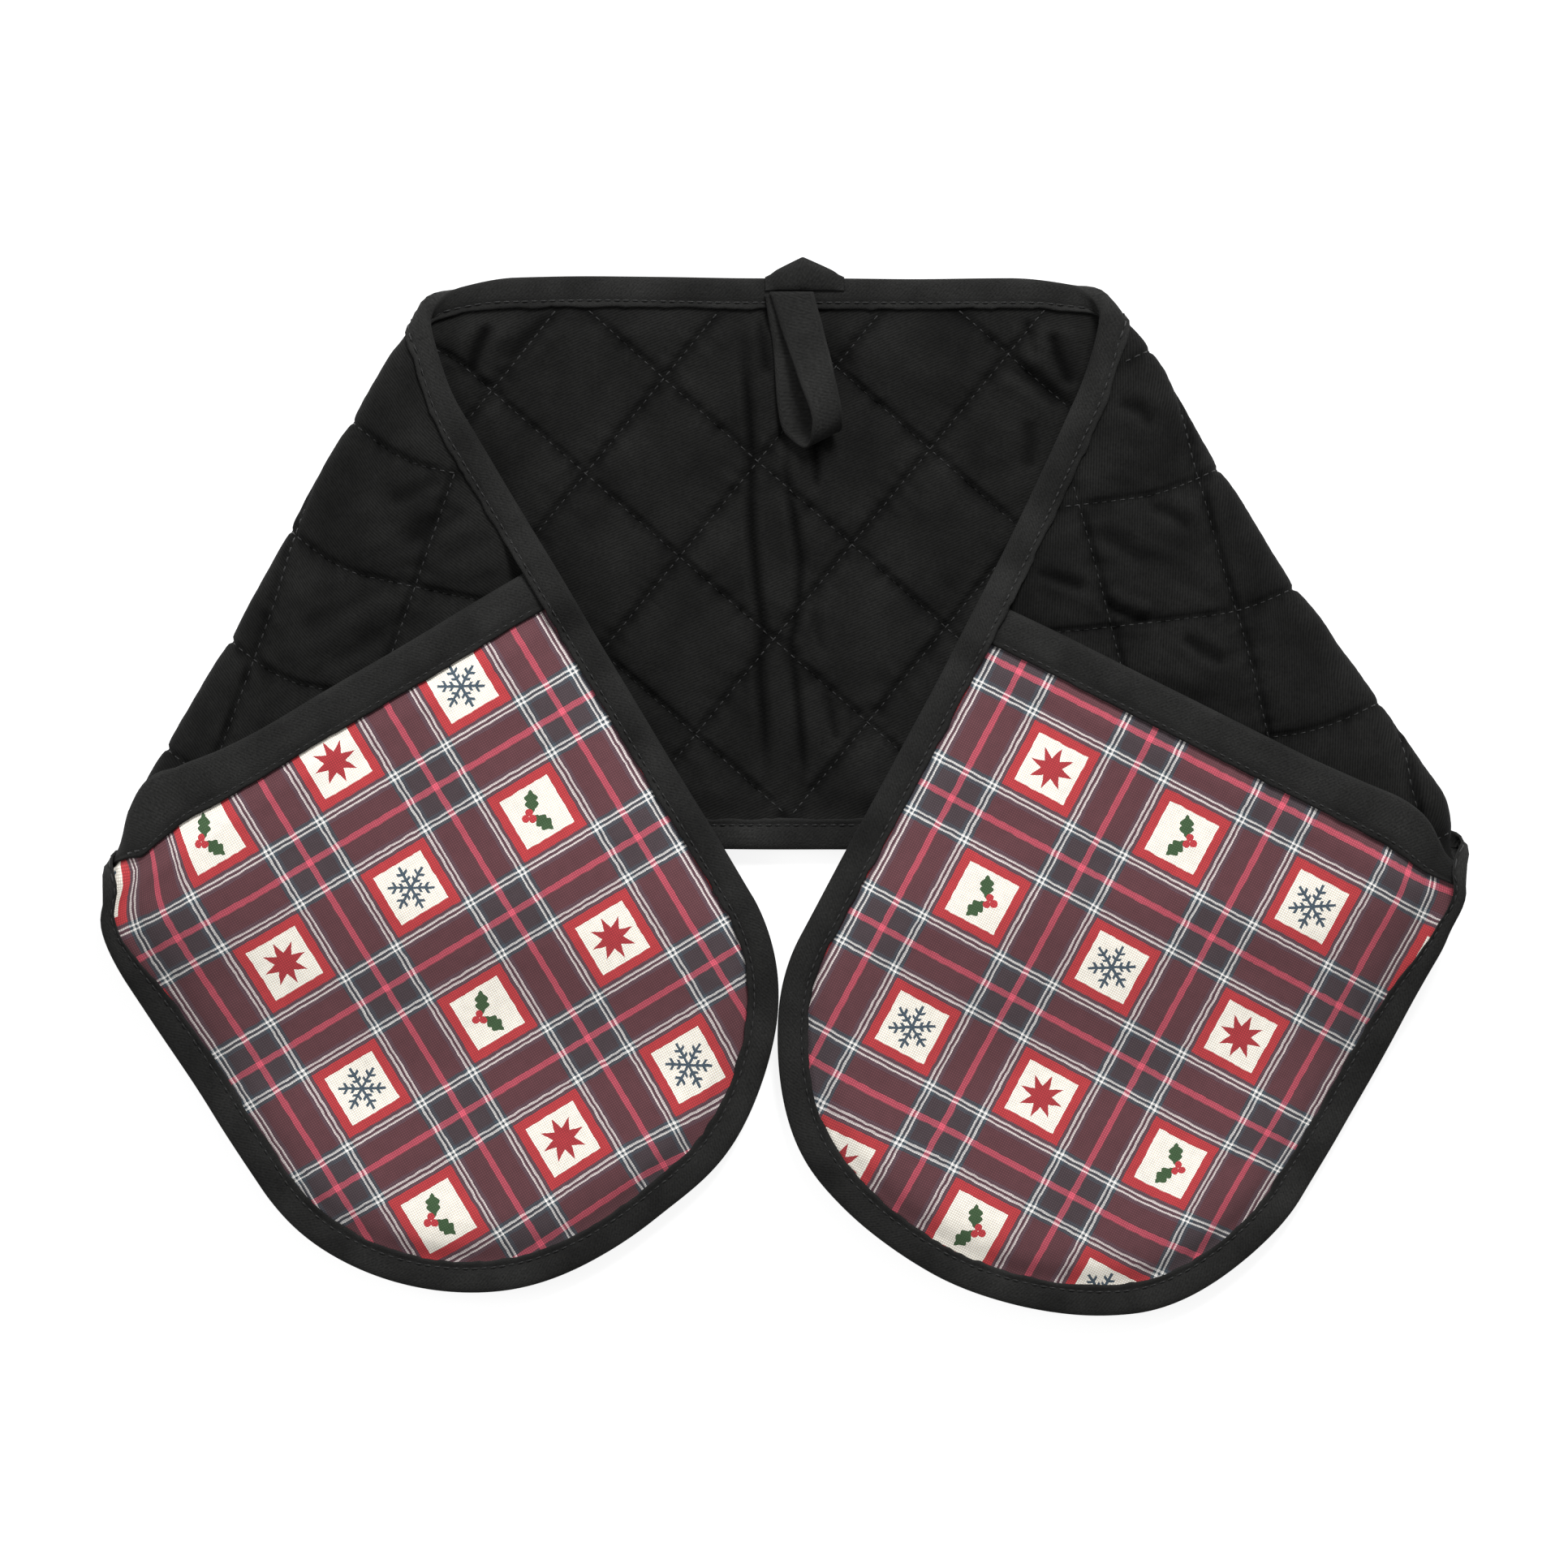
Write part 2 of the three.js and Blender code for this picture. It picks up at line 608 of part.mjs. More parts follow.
// Binding tape round the whole outline, opening wider where the pockets and their mouth tapes go in
function edgeBinding() {
  const sections = outline.map((station) => {
    const [s, t] = place(station, layersInset);
    const depth = depthOf(s, t);
    const lip = outerLip(depth, t);
    const layers = (pocketEdge + gap) * pocketShare(depth) + 2 * mouthBuild * mouthShare(depth);
    const outer = edgeHalf + layers;
    const at = (inset, h) => [...place(station, inset), h];
    return [
      at(bindingLip, edgeHalf + tape),
      at(0, edgeHalf + tape),
      at(0, -outer - tape),
      at(lip, -outer - tape),
      at(lip, -outer),
      at(bindingInside, -outer),
      at(bindingInside, edgeHalf),
      at(bindingLip, edgeHalf),
    ];
  });
  return closedMesh('edge_binding', materials.tape, cutAlongFolds(sweptSolid(sections)));
}

// Folded end of the binding: a small gabled cap hooked over the top edge
function bindingEndCap() {
  const { from, to, peakAt, peak, ridge, lip, foot, dip } = bindingEnd;
  const above = edgeHalf + tape + gap;
  const stations = [from, (from + peakAt) / 2, peakAt - ridge, peakAt + ridge, (to + peakAt) / 2, to];
  const sections = stations.map((s) => {
    const half = s < peakAt ? peakAt - from : to - peakAt;
    const gable = peak * (1 - Math.abs(s - peakAt) / half);
    const at = (inset, h) => [s, halfWidth - inset, h];
    return [
      at(lip, above),
      at(-gap, above),
      at(-gap - gable, above - dip),
      at(-gap, -foot),
      at(-gap - tape, -foot),
      at(-gap - tape - gable, above - dip),
      at(-gap - tape, above + tape),
      at(lip, above + tape),
    ];
  });
  const caps = [[0, 1, 6], [0, 6, 7], [1, 2, 6], [2, 5, 6], [2, 3, 5], [3, 4, 5]];
  return closedMesh('binding_end', materials.tape, sweptSolid(sections, caps));
}

// Hanging loop: down the front, twisting as it goes, round an open eye and back up underneath.
// Columns: distance down from the foot, height over the strip's middle surface, shift to the right,
// width seen from above, how much further down the left edge lies, how much higher the right edge stands
const loopPath = [
  { down: 0, over: 5.1, shift: 0, width: 13.8, skew: 0, tilt: 0 },
  { down: 9, over: 6.4, shift: 0.4, width: 13, skew: 0, tilt: 0.2 },
  { down: 20, over: 8.8, shift: 0.8, width: 12.2, skew: 0, tilt: 0.6 },
  { down: 31, over: 12, shift: 1.2, width: 11, skew: 0.4, tilt: 1.4 },
  { down: 39, over: 13, shift: 1.4, width: 9.8, skew: 1, tilt: 2 },
  { down: 43.6, over: 12.2, shift: 0.5, width: 10.6, skew: 2, tilt: 1.8 },
  { down: 46.4, over: 9.6, shift: -0.6, width: 11.6, skew: 2.6, tilt: 1 },
  { down: 46.9, over: 7, shift: -2.2, width: 12.6, skew: 2.8, tilt: 0.4 },
  { down: 44.6, over: 4.9, shift: -4.4, width: 13.4, skew: 2, tilt: 0 },
  { down: 40, over: 4.4, shift: -6.6, width: 13.8, skew: 1, tilt: 0 },
  { down: 30, over: 4.4, shift: -5.6, width: 13.8, skew: 0, tilt: 0 },
  { down: 18, over: 4.4, shift: -3.4, width: 13.8, skew: 0, tilt: 0 },
  { down: 7, over: 4.1, shift: -2.2, width: 13.8, skew: 0, tilt: 0 },
  { down: 0.6, over: 3.6, shift: -1.6, width: 13.8, skew: 0, tilt: 0 },
];

function hangingLoop() {
  const lean = radians(loop.lean);
  const sections = loopPath.map(({ down, over, shift, width, skew, tilt }, i) => {
    const before = loopPath[Math.max(0, i - 1)];
    const after = loopPath[Math.min(loopPath.length - 1, i + 1)];
    const length = Math.hypot(after.down - before.down, after.over - before.over);
    const offDown = (before.over - after.over) / length * loop.thickness / 2;
    const offOver = (after.down - before.down) / length * loop.thickness / 2;
    const at = (side, face) => {
      const x = side * width / 2 + shift;
      const y = down - side * skew / 2 + face * offDown;
      const turned = lean * clamp01(down / loop.tucked);
      const s = loop.s + x * Math.cos(turned) + y * Math.sin(lean);
      const t = loop.t + x * Math.sin(turned) - y * Math.cos(lean);
      return [s, t, over + side * tilt / 2 + face * offOver];
    };
    return [at(-1, 1), at(1, 1), at(1, -1), at(-1, -1)];
  });
  return closedMesh('hanging_loop', materials.tape, sweptSolid(sections, [[0, 1, 2], [0, 2, 3]]));
}

const group = new THREE.Group();
group.add(quiltedBody());
group.add(edgeBinding());
group.add(bindingEndCap());
group.add(pocket(-1));
group.add(pocket(1));
group.add(mouthBinding(-1));
group.add(mouthBinding(1));
group.add(hangingLoop());

export default group;
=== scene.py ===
# Double oven glove, lying folded: a black quilted strip with taped edges, two printed pockets and a loop.
# Every cloth is drawn on the flat strip in mm (s along, t across, h through it) and laid in its folds.
import math
from functools import partial

import bmesh
import bpy
import numpy as np
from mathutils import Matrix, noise
from mathutils.geometry import delaunay_2d_cdt


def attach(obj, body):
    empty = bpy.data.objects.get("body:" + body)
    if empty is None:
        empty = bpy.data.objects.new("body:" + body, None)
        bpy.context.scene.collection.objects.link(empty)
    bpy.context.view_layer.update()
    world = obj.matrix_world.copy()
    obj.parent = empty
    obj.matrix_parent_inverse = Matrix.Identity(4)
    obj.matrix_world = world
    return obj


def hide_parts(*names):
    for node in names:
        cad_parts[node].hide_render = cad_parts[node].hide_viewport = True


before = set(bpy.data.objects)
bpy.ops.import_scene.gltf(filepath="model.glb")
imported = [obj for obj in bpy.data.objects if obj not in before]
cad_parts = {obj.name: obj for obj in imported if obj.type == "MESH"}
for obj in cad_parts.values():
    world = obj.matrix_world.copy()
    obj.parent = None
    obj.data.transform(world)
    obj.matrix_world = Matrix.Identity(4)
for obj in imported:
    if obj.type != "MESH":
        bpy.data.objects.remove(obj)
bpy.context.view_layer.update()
bpy.ops.object.select_all(action="DESELECT")
mm = 0.001
print("frame loaded")


def table(columns, *rows):
    # a dictionary for each row
    return [dict(zip(columns.split(), row)) for row in rows]


# The strip and its folds, the same as in the part's source but for the first five nudges
strip = {
    "halfWidth": 90, "left": 391.8, "right": 399.8, "endRound": 73, "centreY": 69.9,
    "rollRadius": 4.5, "slipStart": -15, "slipLength": 50, "turnStart": 110, "turnLength": 140,
    "height": 2.65, "layerRise": 7.2, "settleLength": 45, "dropEdge": -34, "dropLength": 60,
    "dropSpeed": 3,
}
folds = [
    {"side": -1, "at": -152.3, "lean": 60.5, "slip": 16.5, "turn": 0},
    {"side": 1, "at": 149.2, "lean": 56.6, "slip": 11, "turn": 5},
]
# small moves of the laid cloth round a place, fading out at its reach
nudges = table(
    "x y east north up reach",
    (-219, -24, 2.2, 0, 0, 22), (-215, -42, -2.2, 0, 0, 22), (217, -20, -1.5, 0, 0, 12),
    (207, -9, 2.6, 0, 0, 17), (213, -33, 2.4, 0, 0, 15), (-205, -20, 0, 0, 5.2, 80),
    (211, -20, 0, 0, 5.2, 80), (-209, -14, 2.6, -2, 0, 34), (-218, -27, 1.7, -0.4, 0, 36),
    (-202, 0, -1.5, 0.9, 0, 30), (-212, -48, -0.8, 0, 0, 30), (-200, -60, -3, 0.1, 0, 46),
    (-182, -98, -1.1, -0.7, 0, 46), (-85, -158, 0.8, -2.1, 0, 60), (-12, -108, 0, -2.7, 0, 40),
    (9, -120, -2.1, -2.8, 0, 50), (45, -152, -0.9, -1, 0, 46), (150, -146, -1.3, 4, 0, 45),
    (172, -114, -1.2, 0.7, 0, 46), (200, -66, -0.9, 0.5, 0, 50), (215, -20, -2.6, -1.2, 0, 34),
    (219, -17, -2, -0.4, 0, 26), (206, -3, 1.6, 0.6, 0, 26), (190, 22, 1.7, 1.2, 0, 30),
    (153, 74, -1, -1, 0, 30), (117, 135, 2.7, 1.2, 0, 34), (-58, 160, -0.1, 0.8, 0, 45),
    (-146, 98, -1.4, 0.9, 0, 45),
)
# where each pocket's mouth is, and how far its edge and its tape's foot curve away at the corner
mouths = {
    "left": {"at": 195.8, "from": -45, "over": 42, "most": 11, "foot": 2},
    "right": {"at": 203.6, "from": -55, "over": 40, "most": 10, "foot": 2},
}
mouthTapeWidth = 13
rollArc = math.pi * strip["rollRadius"]
halfWidth, endRound = strip["halfWidth"], strip["endRound"]


def clamp01(x):
    return np.clip(x, 0, 1)


def smooth(x):
    x = clamp01(x)
    return x * x * (3 - 2 * x)


def bell(x, width):
    return np.exp(-(x / width) ** 2)


def cosSin(degrees):
    return math.cos(math.radians(degrees)), math.sin(math.radians(degrees))


def uneven(x, y, seed=0):
    # smooth noise between about -1 and 1; each seed is its own slice
    x, y = np.broadcast_arrays(x, y)
    level = seed * 7.3 + 0.37
    values = [noise.noise((a, b, level)) for a, b in zip(x.ravel(), y.ravel())]
    return np.reshape(values, x.shape)


def foldPlace(fold, s, t):
    side, (cos, sin) = fold["side"], cosSin(fold["lean"])
    past = np.maximum(0, side * s - strip["turnStart"])
    curved = np.minimum(past, strip["turnLength"])
    heading = math.radians(fold["turn"]) * curved / strip["turnLength"]
    x = s - side * t * heading - fold["at"]
    y = t + heading * (past - curved / 2)
    normal, down = (side * sin, cos), (side * cos, -sin)
    return normal, down, x * normal[0] + y * normal[1], x * down[0] + y * down[1]


def pastFold(s, t):
    return np.where(s < 0, *(foldPlace(fold, s, t)[2] for fold in folds))


def layRound(fold, s, t, h):
    normal, down, past, along = foldPlace(fold, s, t)
    radius = strip["rollRadius"]
    angle = clamp01(past / rollArc) * math.pi
    beyond = np.maximum(0, past - rollArc)
    out = np.minimum(past, 0) + (radius - h) * np.sin(angle) - beyond
    slid = along + fold["slip"] * smooth((past - strip["slipStart"]) / strip["slipLength"])
    x = fold["at"] + normal[0] * out + down[0] * slid
    y = strip["centreY"] + normal[1] * out + down[1] * slid
    settled = (2 * radius - strip["layerRise"]) * smooth(beyond / strip["settleLength"])
    dropped = smooth((strip["dropEdge"] - y) / strip["dropLength"])
    dropped = dropped * smooth(strip["dropSpeed"] * beyond / strip["settleLength"])
    rise = radius - (radius - h) * np.cos(angle) - settled - strip["layerRise"] * dropped
    return np.stack((x, y, strip["height"] + rise), -1)


def lay(s, t, h):
    s, t, h = (np.asarray(a, float) for a in np.broadcast_arrays(s, t, h))
    laid = np.where((s < 0)[..., None], *(layRound(fold, s, t, h) for fold in folds))
    shift = np.zeros_like(laid)
    for nudge in nudges:
        near = smooth(1 - np.hypot(laid[..., 0] - nudge["x"], laid[..., 1] - nudge["y"]) / nudge["reach"])
        shift += near[..., None] * np.array((nudge["east"], nudge["north"], nudge["up"]))
    laid = laid + shift
    laid[..., 2] = np.maximum(laid[..., 2], 0)
    return laid * mm


def insetOf(s, t):
    # distance inwards from the outline, whose ends are half ellipses
    x = np.abs(s) - np.where(s < 0, strip["left"], strip["right"]) + endRound
    inset = halfWidth - np.abs(t)
    farthestOut, halvings = -20.0, 24
    low, high = np.full(np.shape(inset), farthestOut), np.minimum(endRound - x, inset)
    for _ in range(halvings):
        middle = (low + high) / 2
        inside = (x / (endRound - middle)) ** 2 + (t / (halfWidth - middle)) ** 2 < 1
        low, high = np.where(inside, middle, low), np.where(inside, high, middle)
    return np.where(x > 0, low, inset)


def mouthCurve(mouth, t):
    # how far a mouth's edge has curved away at t, and how much narrower its tape is there
    share = smooth((mouth["from"] - t) / mouth["over"])
    return mouth["most"] * share, (mouth["most"] - mouth["foot"]) * share


def pastMouth(side, depth, t):
    mouth = mouths["left" if side < 0 else "right"]
    curved, narrower = mouthCurve(mouth, t)
    return side * (mouth["at"] + curved + depth - narrower * clamp01(depth / mouthTapeWidth))


def mouthDepth(s, t):
    # distance past a mouth, counting its tape as equally wide everywhere
    depths = []
    for mouth in mouths.values():
        curved, narrower = mouthCurve(mouth, t)
        past = np.abs(s) - mouth["at"] - curved
        depths.append(past + narrower * clamp01(past / (mouthTapeWidth - narrower)))
    return np.where(s < 0, *depths)


def outlineAt(inset, spacing):
    # places round the outline, from the top left corner clockwise; the same count for every inset
    left, right = strip["left"] - endRound, strip["right"] - endRound
    straight = np.linspace(-left, right, round((left + right) / spacing) + 1)
    roundSteps = round(math.pi * (endRound + halfWidth) / 2 / spacing)
    turn = np.linspace(0, math.pi, roundSteps + 1)[1:-1]
    deep, wide = endRound - inset, halfWidth - inset
    s = np.concatenate((straight, right + deep * np.sin(turn), straight[::-1], -left - deep * np.sin(turn)))
    edge = np.concatenate((straight * 0 + wide, wide * np.cos(turn)))
    return s, np.concatenate((edge, -edge))


def ringAt(inset, spacing):
    # places at an inset that can change along the outline, by moving between two outlines
    deepest = 10
    outerS, outerT = outlineAt(0, spacing)
    innerS, innerT = outlineAt(deepest, spacing)
    share = inset / deepest
    return outerS + (innerS - outerS) * share, outerT + (innerT - outerT) * share


def closedRing(s, t):
    return np.append(s, s[0]), np.append(t, t[0])


def lengthAlong(s, t):
    return np.concatenate(([0], np.cumsum(np.hypot(np.diff(s), np.diff(t)))))


def polygonPiece(name, places, faces, faceUvs, material, shade=None):
    mesh = bpy.data.meshes.new(name)
    mesh.from_pydata(np.asarray(places).reshape(-1, 3).tolist(), [], faces)
    # painted shade: a share at each place, by which the twill material darkens its colour
    if shade is not None:
        mesh.attributes.new("paintedShade", "FLOAT", "POINT").data.foreach_set("value", shade)
    mesh.uv_layers.new(name="cloth").data.foreach_set("uv", np.asarray(faceUvs, float).ravel())
    mesh.polygons.foreach_set("use_smooth", [True] * len(mesh.polygons))
    edit = bmesh.new()
    edit.from_mesh(mesh)
    bmesh.ops.remove_doubles(edit, verts=edit.verts, dist=1e-7)
    bmesh.ops.recalc_face_normals(edit, faces=edit.faces)
    edit.to_mesh(mesh)
    edit.free()
    mesh.materials.append(material)
    piece = bpy.data.objects.new(name, mesh)
    bpy.context.collection.objects.link(piece)
    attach(piece, "root")
    return piece


def cellCorners(grid):
    return np.stack((grid[:-1, :-1], grid[1:, :-1], grid[1:, 1:], grid[:-1, 1:]), 2)


def sheetFaces(flat, count):
    # triangles of one face of a cloth, whose first count places are its edge ring
    edges = [(i, (i + 1) % count) for i in range(count)]
    tolerance = 1e-6
    return delaunay_2d_cdt([tuple(place) for place in flat], edges, [], 1, tolerance)[2]


def tapePiece(name, sections, lengthwise, width, closed=False):
    # a tape swept through its sections; one that isn't closed gets a cap at both ends
    rows, count = sections.shape[:2]
    at = np.arange(rows * count).reshape(rows, count)
    faces = cellCorners(np.pad(at, ((0, int(closed)), (0, 1)), "wrap")).reshape(-1, 4).tolist()
    around = np.linspace(0, width, count + 1)
    flat = np.stack(np.meshgrid(lengthwise * mm, around, indexing="ij"), -1)
    uvs = cellCorners(flat).reshape(-1, 2).tolist()
    for row in () if closed else (0, rows - 1):
        faces.append(at[row].tolist())
        uvs += flat[row, :-1].tolist()
    return polygonPiece(name, sections, faces, uvs, tapeTwill)


def toLinear(colour):
    parts = [int(colour[k:k + 2], 16) / 255 for k in (1, 3, 5)]
    return [c / 12.92 if c <= 0.04045 else ((c + 0.055) / 1.055) ** 2.4 for c in parts] + [1]


def setInputs(node, inputs):
    # by position or name; a node is linked from its first output, and a colour is given as hex
    for name, value in inputs.items() if isinstance(inputs, dict) else enumerate(inputs):
        if isinstance(value, bpy.types.Node):
            value = value.outputs[0]
        if isinstance(value, bpy.types.NodeSocket):
            node.id_data.links.new(value, node.inputs[name])
        else:
            node.inputs[name].default_value = toLinear(value) if isinstance(value, str) else value


def addNode(tree, kind, inputs=(), **settings):
    node = tree.nodes.new("ShaderNode" + kind)
    for name, value in settings.items():
        setattr(node, name, value)
    setInputs(node, inputs)
    return node


def blend(add, share, below, above):
    return add("Mix", {0: share, 6: below, 7: above}, data_type="RGBA").outputs[2]


def startMaterial(name, roughness, sheen, gloss=0.3):
    # the material, its surface, and functions that add a node or a sum
    material = bpy.data.materials.new(name)
    material.use_nodes = True
    tree = material.node_tree
    surface = tree.nodes["Principled BSDF"]
    setInputs(surface, {"Roughness": roughness, "Sheen Weight": sheen, "Sheen Roughness": 0.55,
                        "Specular IOR Level": gloss})
    add = partial(addNode, tree)
    return material, surface, add, lambda kind, *inputs: add("Math", inputs, operation=kind)


# Cotton twill, woven then dyed black: fine slanting ribs that catch the light, dull and deep in tone
twill = {
    "quilted": {"dark": "#030303", "light": "#262625", "pitch": 0.85, "angle": 22, "ribs": 0.35,
                "fuzz": 1.1, "relief": 0.0001, "sheen": 0.015},
    "tape": {"dark": "#040404", "light": "#353534", "pitch": 0.9, "angle": 48, "ribs": 0.12,
             "fuzz": 0.75, "relief": 0.00025, "sheen": 0.02},
    "gloss": 0.06, "wanderScale": 220, "wander": 3.0, "wearScale": 45, "wear": 2.0,
    # painted shade: how strongly, and to what colour, the seams' valleys and the creases are darkened
    "paintedShade": 0.84, "paintedShadeColour": "#010101",
}


def blackTwill(name, look):
    # ribs that wander, fibres that wear lighter, and painted shade that darkens the seams' valleys and the
    # creases
    material, surface, add, calc = startMaterial(name, 0.8, look["sheen"], twill["gloss"])
    flat = add("UVMap", uv_map="cloth").outputs["UV"]
    turn = 2 * math.pi / (look["pitch"] * mm)
    cos, sin = cosSin(look["angle"] + 90)
    slant = add("VectorMath", (flat, (turn * cos, turn * sin, 0)), operation="DOT_PRODUCT")
    wander = add("TexNoise", {"Vector": flat, "Scale": twill["wanderScale"], "Detail": 3})
    wandered = calc("MULTIPLY_ADD", wander, twill["wander"], slant.outputs["Value"])
    rib = calc("MULTIPLY_ADD", calc("SINE", wandered), 0.5, 0.5)
    fuzz = add("TexNoise", {"Vector": flat, "Scale": 1000 / look["fuzz"], "Detail": 3, "Roughness": 0.6})
    worn = add("TexNoise", {"Vector": flat, "Scale": twill["wearScale"], "Detail": 4})
    fibres = add("Mix", {0: look["ribs"], 2: fuzz, 3: rib}, data_type="FLOAT").outputs[0]
    amount = calc("MULTIPLY", fibres, calc("MULTIPLY", worn, twill["wear"]))
    colour = blend(add, amount, look["dark"], look["light"])
    # painted shade in the seams' valleys and the creases, mixed into the colour
    paintedShade = add("Attribute", attribute_name="paintedShade", attribute_type="GEOMETRY").outputs["Fac"]
    shaded = calc("MULTIPLY", paintedShade, twill["paintedShade"])
    colour = blend(add, shaded, colour, twill["paintedShadeColour"])
    bump = add("Bump", {"Strength": 1, "Distance": look["relief"], "Height": fibres})
    setInputs(surface, {"Base Color": colour, "Normal": bump})
    return material


# Plain-weave cotton, printed: flat matt colours over a fine even weave
printLook = {
    "repeat": 46, "offset": (9.0, 23.0), "patch": 8.6, "frame": 11.5, "wobbleScale": 0.35, "wobble": 0.7,
    "sett": [(0, "#6b3339"), (0.5, "#414c55"), (0.545, "#f6f4f0"), (0.575, "#39444d"), (0.61, "#f6f4f0"),
             (0.64, "#414c55"), (0.69, "#43383c"), (0.955, "#cf5266")],
    "colours": {"cream": "#ece6da", "frame": "#ad3338", "snow": "#43525e", "star": "#a22f35",
                "leaf": "#3d5638", "berry": "#b5333a"},
    # branches are (start along the arm, length), berries are (across, up)
    "flake": {"armHalf": 0.42, "arm": 7.4, "branchHalf": 0.4, "branches": ((2.5, 1.5), (4.6, 1.75))},
    "star": {"radius": 7.2, "along": 1.25, "across": 4.05},
    "holly": {"rise": 1.4, "lean": 24, "from": 0.5, "to": 7.9, "narrowest": 1.5, "waves": 3.0,
              "berries": ((1.15, -2.2), (0.0, -4.1)), "berry": 1.2},
    "threadScale": 0.45, "threadRelief": 0.0001,
}


def printedCotton(name, look):
    material, surface, add, calc = startMaterial(name, 0.88, 0.1)
    times, plus, below = (partial(calc, kind) for kind in ("MULTIPLY", "ADD", "LESS_THAN"))
    flat = add("UVMap", uv_map="cloth").outputs["UV"]
    millimetres = add("VectorMath", {0: flat, "Scale": 1000}, operation="SCALE")
    wobble = add("TexNoise", {"Vector": millimetres, "Scale": look["wobbleScale"], "Detail": 2})
    wobbled = add("VectorMath", {0: wobble.outputs["Color"], "Scale": look["wobble"]}, operation="SCALE")
    shifted = add("VectorMath", (add("VectorMath", (millimetres, wobbled)), look["offset"] + (0,)))
    place = add("SeparateXYZ", (shifted,))
    local, cells, bands = [], [], []
    for axis in (0, 1):
        turns = calc("DIVIDE", place.outputs[axis], look["repeat"])
        cells.append(calc("FLOOR", turns))
        local.append(times(plus(calc("FRACT", turns), -0.5), look["repeat"]))
        band = add("ValToRGB", (calc("DIVIDE", calc("ABSOLUTE", local[axis]), look["repeat"] / 2),))
        band.color_ramp.interpolation = "CONSTANT"
        for index, (position, colour) in enumerate(look["sett"]):
            stop = band.color_ramp.elements[index] if index < 2 else band.color_ramp.elements.new(position)
            stop.position, stop.color = position, toLinear(colour)
        bands.append(band)
    painted = blend(add, 0.5, *bands)

    def paint(mask, colour):
        return blend(add, mask, painted, look["colours"][colour])

    widest = calc("MAXIMUM", *[calc("ABSOLUTE", axis) for axis in local])
    painted = paint(below(widest, look["frame"]), "frame")
    painted = paint(below(widest, look["patch"]), "cream")
    radius = add("VectorMath", (add("CombineXYZ", local),), operation="LENGTH").outputs["Value"]
    angle = calc("ARCTAN2", local[1], local[0])
    # the three motifs take turns from square to square
    order = calc("FLOORED_MODULO", calc("MULTIPLY_ADD", cells[1], 2.0, cells[0]), 3.0)
    isSnow = below(order, 0.5)
    isHolly = calc("GREATER_THAN", order, 1.5)
    isStar = calc("SUBTRACT", 1.0, plus(isSnow, isHolly))

    def foldedPlace(points):
        # the place in one of the 2 x points mirrored wedges
        wedge = calc("PINGPONG", angle, math.pi / points)
        return times(radius, calc("COSINE", wedge)), times(radius, calc("SINE", wedge))

    # a six-armed snowflake with two pairs of branches on each arm, which lean at 60 degrees
    x, y = foldedPlace(6)
    shape = look["flake"]
    flake = times(below(y, shape["armHalf"]), below(x, shape["arm"]))
    for start, length in shape["branches"]:
        slope = times(plus(x, -start), math.sin(math.pi / 3))
        off = calc("ABSOLUTE", calc("MULTIPLY_ADD", y, -math.cos(math.pi / 3), slope))
        branch = times(below(off, shape["branchHalf"]), below(y, length))
        flake = calc("MAXIMUM", flake, branch)
    painted = paint(times(isSnow, flake), "snow")

    # an eight-pointed star, cut by the line from a point to a notch
    x, y = foldedPlace(8)
    shape = look["star"]
    edge = calc("MULTIPLY_ADD", x, shape["along"], times(y, shape["across"]))
    painted = paint(times(isStar, below(edge, shape["along"] * shape["radius"])), "star")

    # two holly leaves with wavy edges, and berries
    shape = look["holly"]
    side = calc("ABSOLUTE", local[0])
    rise = plus(local[1], shape["rise"])
    cos, sin = cosSin(shape["lean"])
    leafway = calc("MULTIPLY_ADD", side, cos, times(rise, sin))
    offway = calc("MULTIPLY_ADD", rise, cos, times(side, -sin))
    share = times(plus(leafway, -shape["from"]), math.pi / (shape["to"] - shape["from"]))
    wave = calc("ABSOLUTE", calc("COSINE", times(share, shape["waves"])))
    width = times(calc("SINE", share), calc("MULTIPLY_ADD", wave, 1.0, shape["narrowest"]))
    leaf = below(calc("ABSOLUTE", offway), width)
    leaf = times(times(leaf, calc("GREATER_THAN", leafway, shape["from"])), below(leafway, shape["to"]))
    painted = paint(times(isHolly, leaf), "leaf")
    berry = None
    for across, up in shape["berries"]:
        apart = add("CombineXYZ", (plus(side, -across), plus(local[1], -up)))
        away = add("VectorMath", (apart,), operation="LENGTH").outputs["Value"]
        one = below(away, shape["berry"])
        berry = one if berry is None else calc("MAXIMUM", berry, one)
    painted = paint(times(isHolly, berry), "berry")

    # the dye takes unevenly, and the threads of the weave show a little; they are drawn 0.7 mm apart
    dye = add("TexNoise", {"Vector": millimetres, "Scale": 0.3, "Detail": 5, "Roughness": 0.7})
    way = {"Vector": millimetres, "Scale": look["threadScale"], "Distortion": 0.6}
    weave, weft = (add("TexWave", way, bands_direction=axis).outputs["Fac"] for axis in "XY")
    threads = times(weave, weft)
    shade = plus(calc("MULTIPLY_ADD", dye, 0.5, 0.72), threads)
    value = calc("MULTIPLY_ADD", shade, 0.96, 0.02)
    tone = add("HueSaturation", {"Color": painted, "Value": value, "Saturation": 0.98})
    bump = add("Bump", {"Strength": 0.35, "Distance": look["threadRelief"], "Height": threads})
    setInputs(surface, {"Base Color": tone, "Normal": bump})
    return material


# Spun polyester sewing thread, dark grey: a slight silky gloss, twisted plies
threadLook = {"dark": "#0f0f0f", "light": "#262626", "plyScale": 2600}


def sewingThread(name, look):
    material, surface, add, calc = startMaterial(name, 0.5, 0.15)
    place = add("TexCoord").outputs["Object"]
    plies = add("TexNoise", {"Vector": place, "Scale": look["plyScale"], "Detail": 2})
    setInputs(surface, {"Base Color": blend(add, plies, look["dark"], look["light"])})
    return material


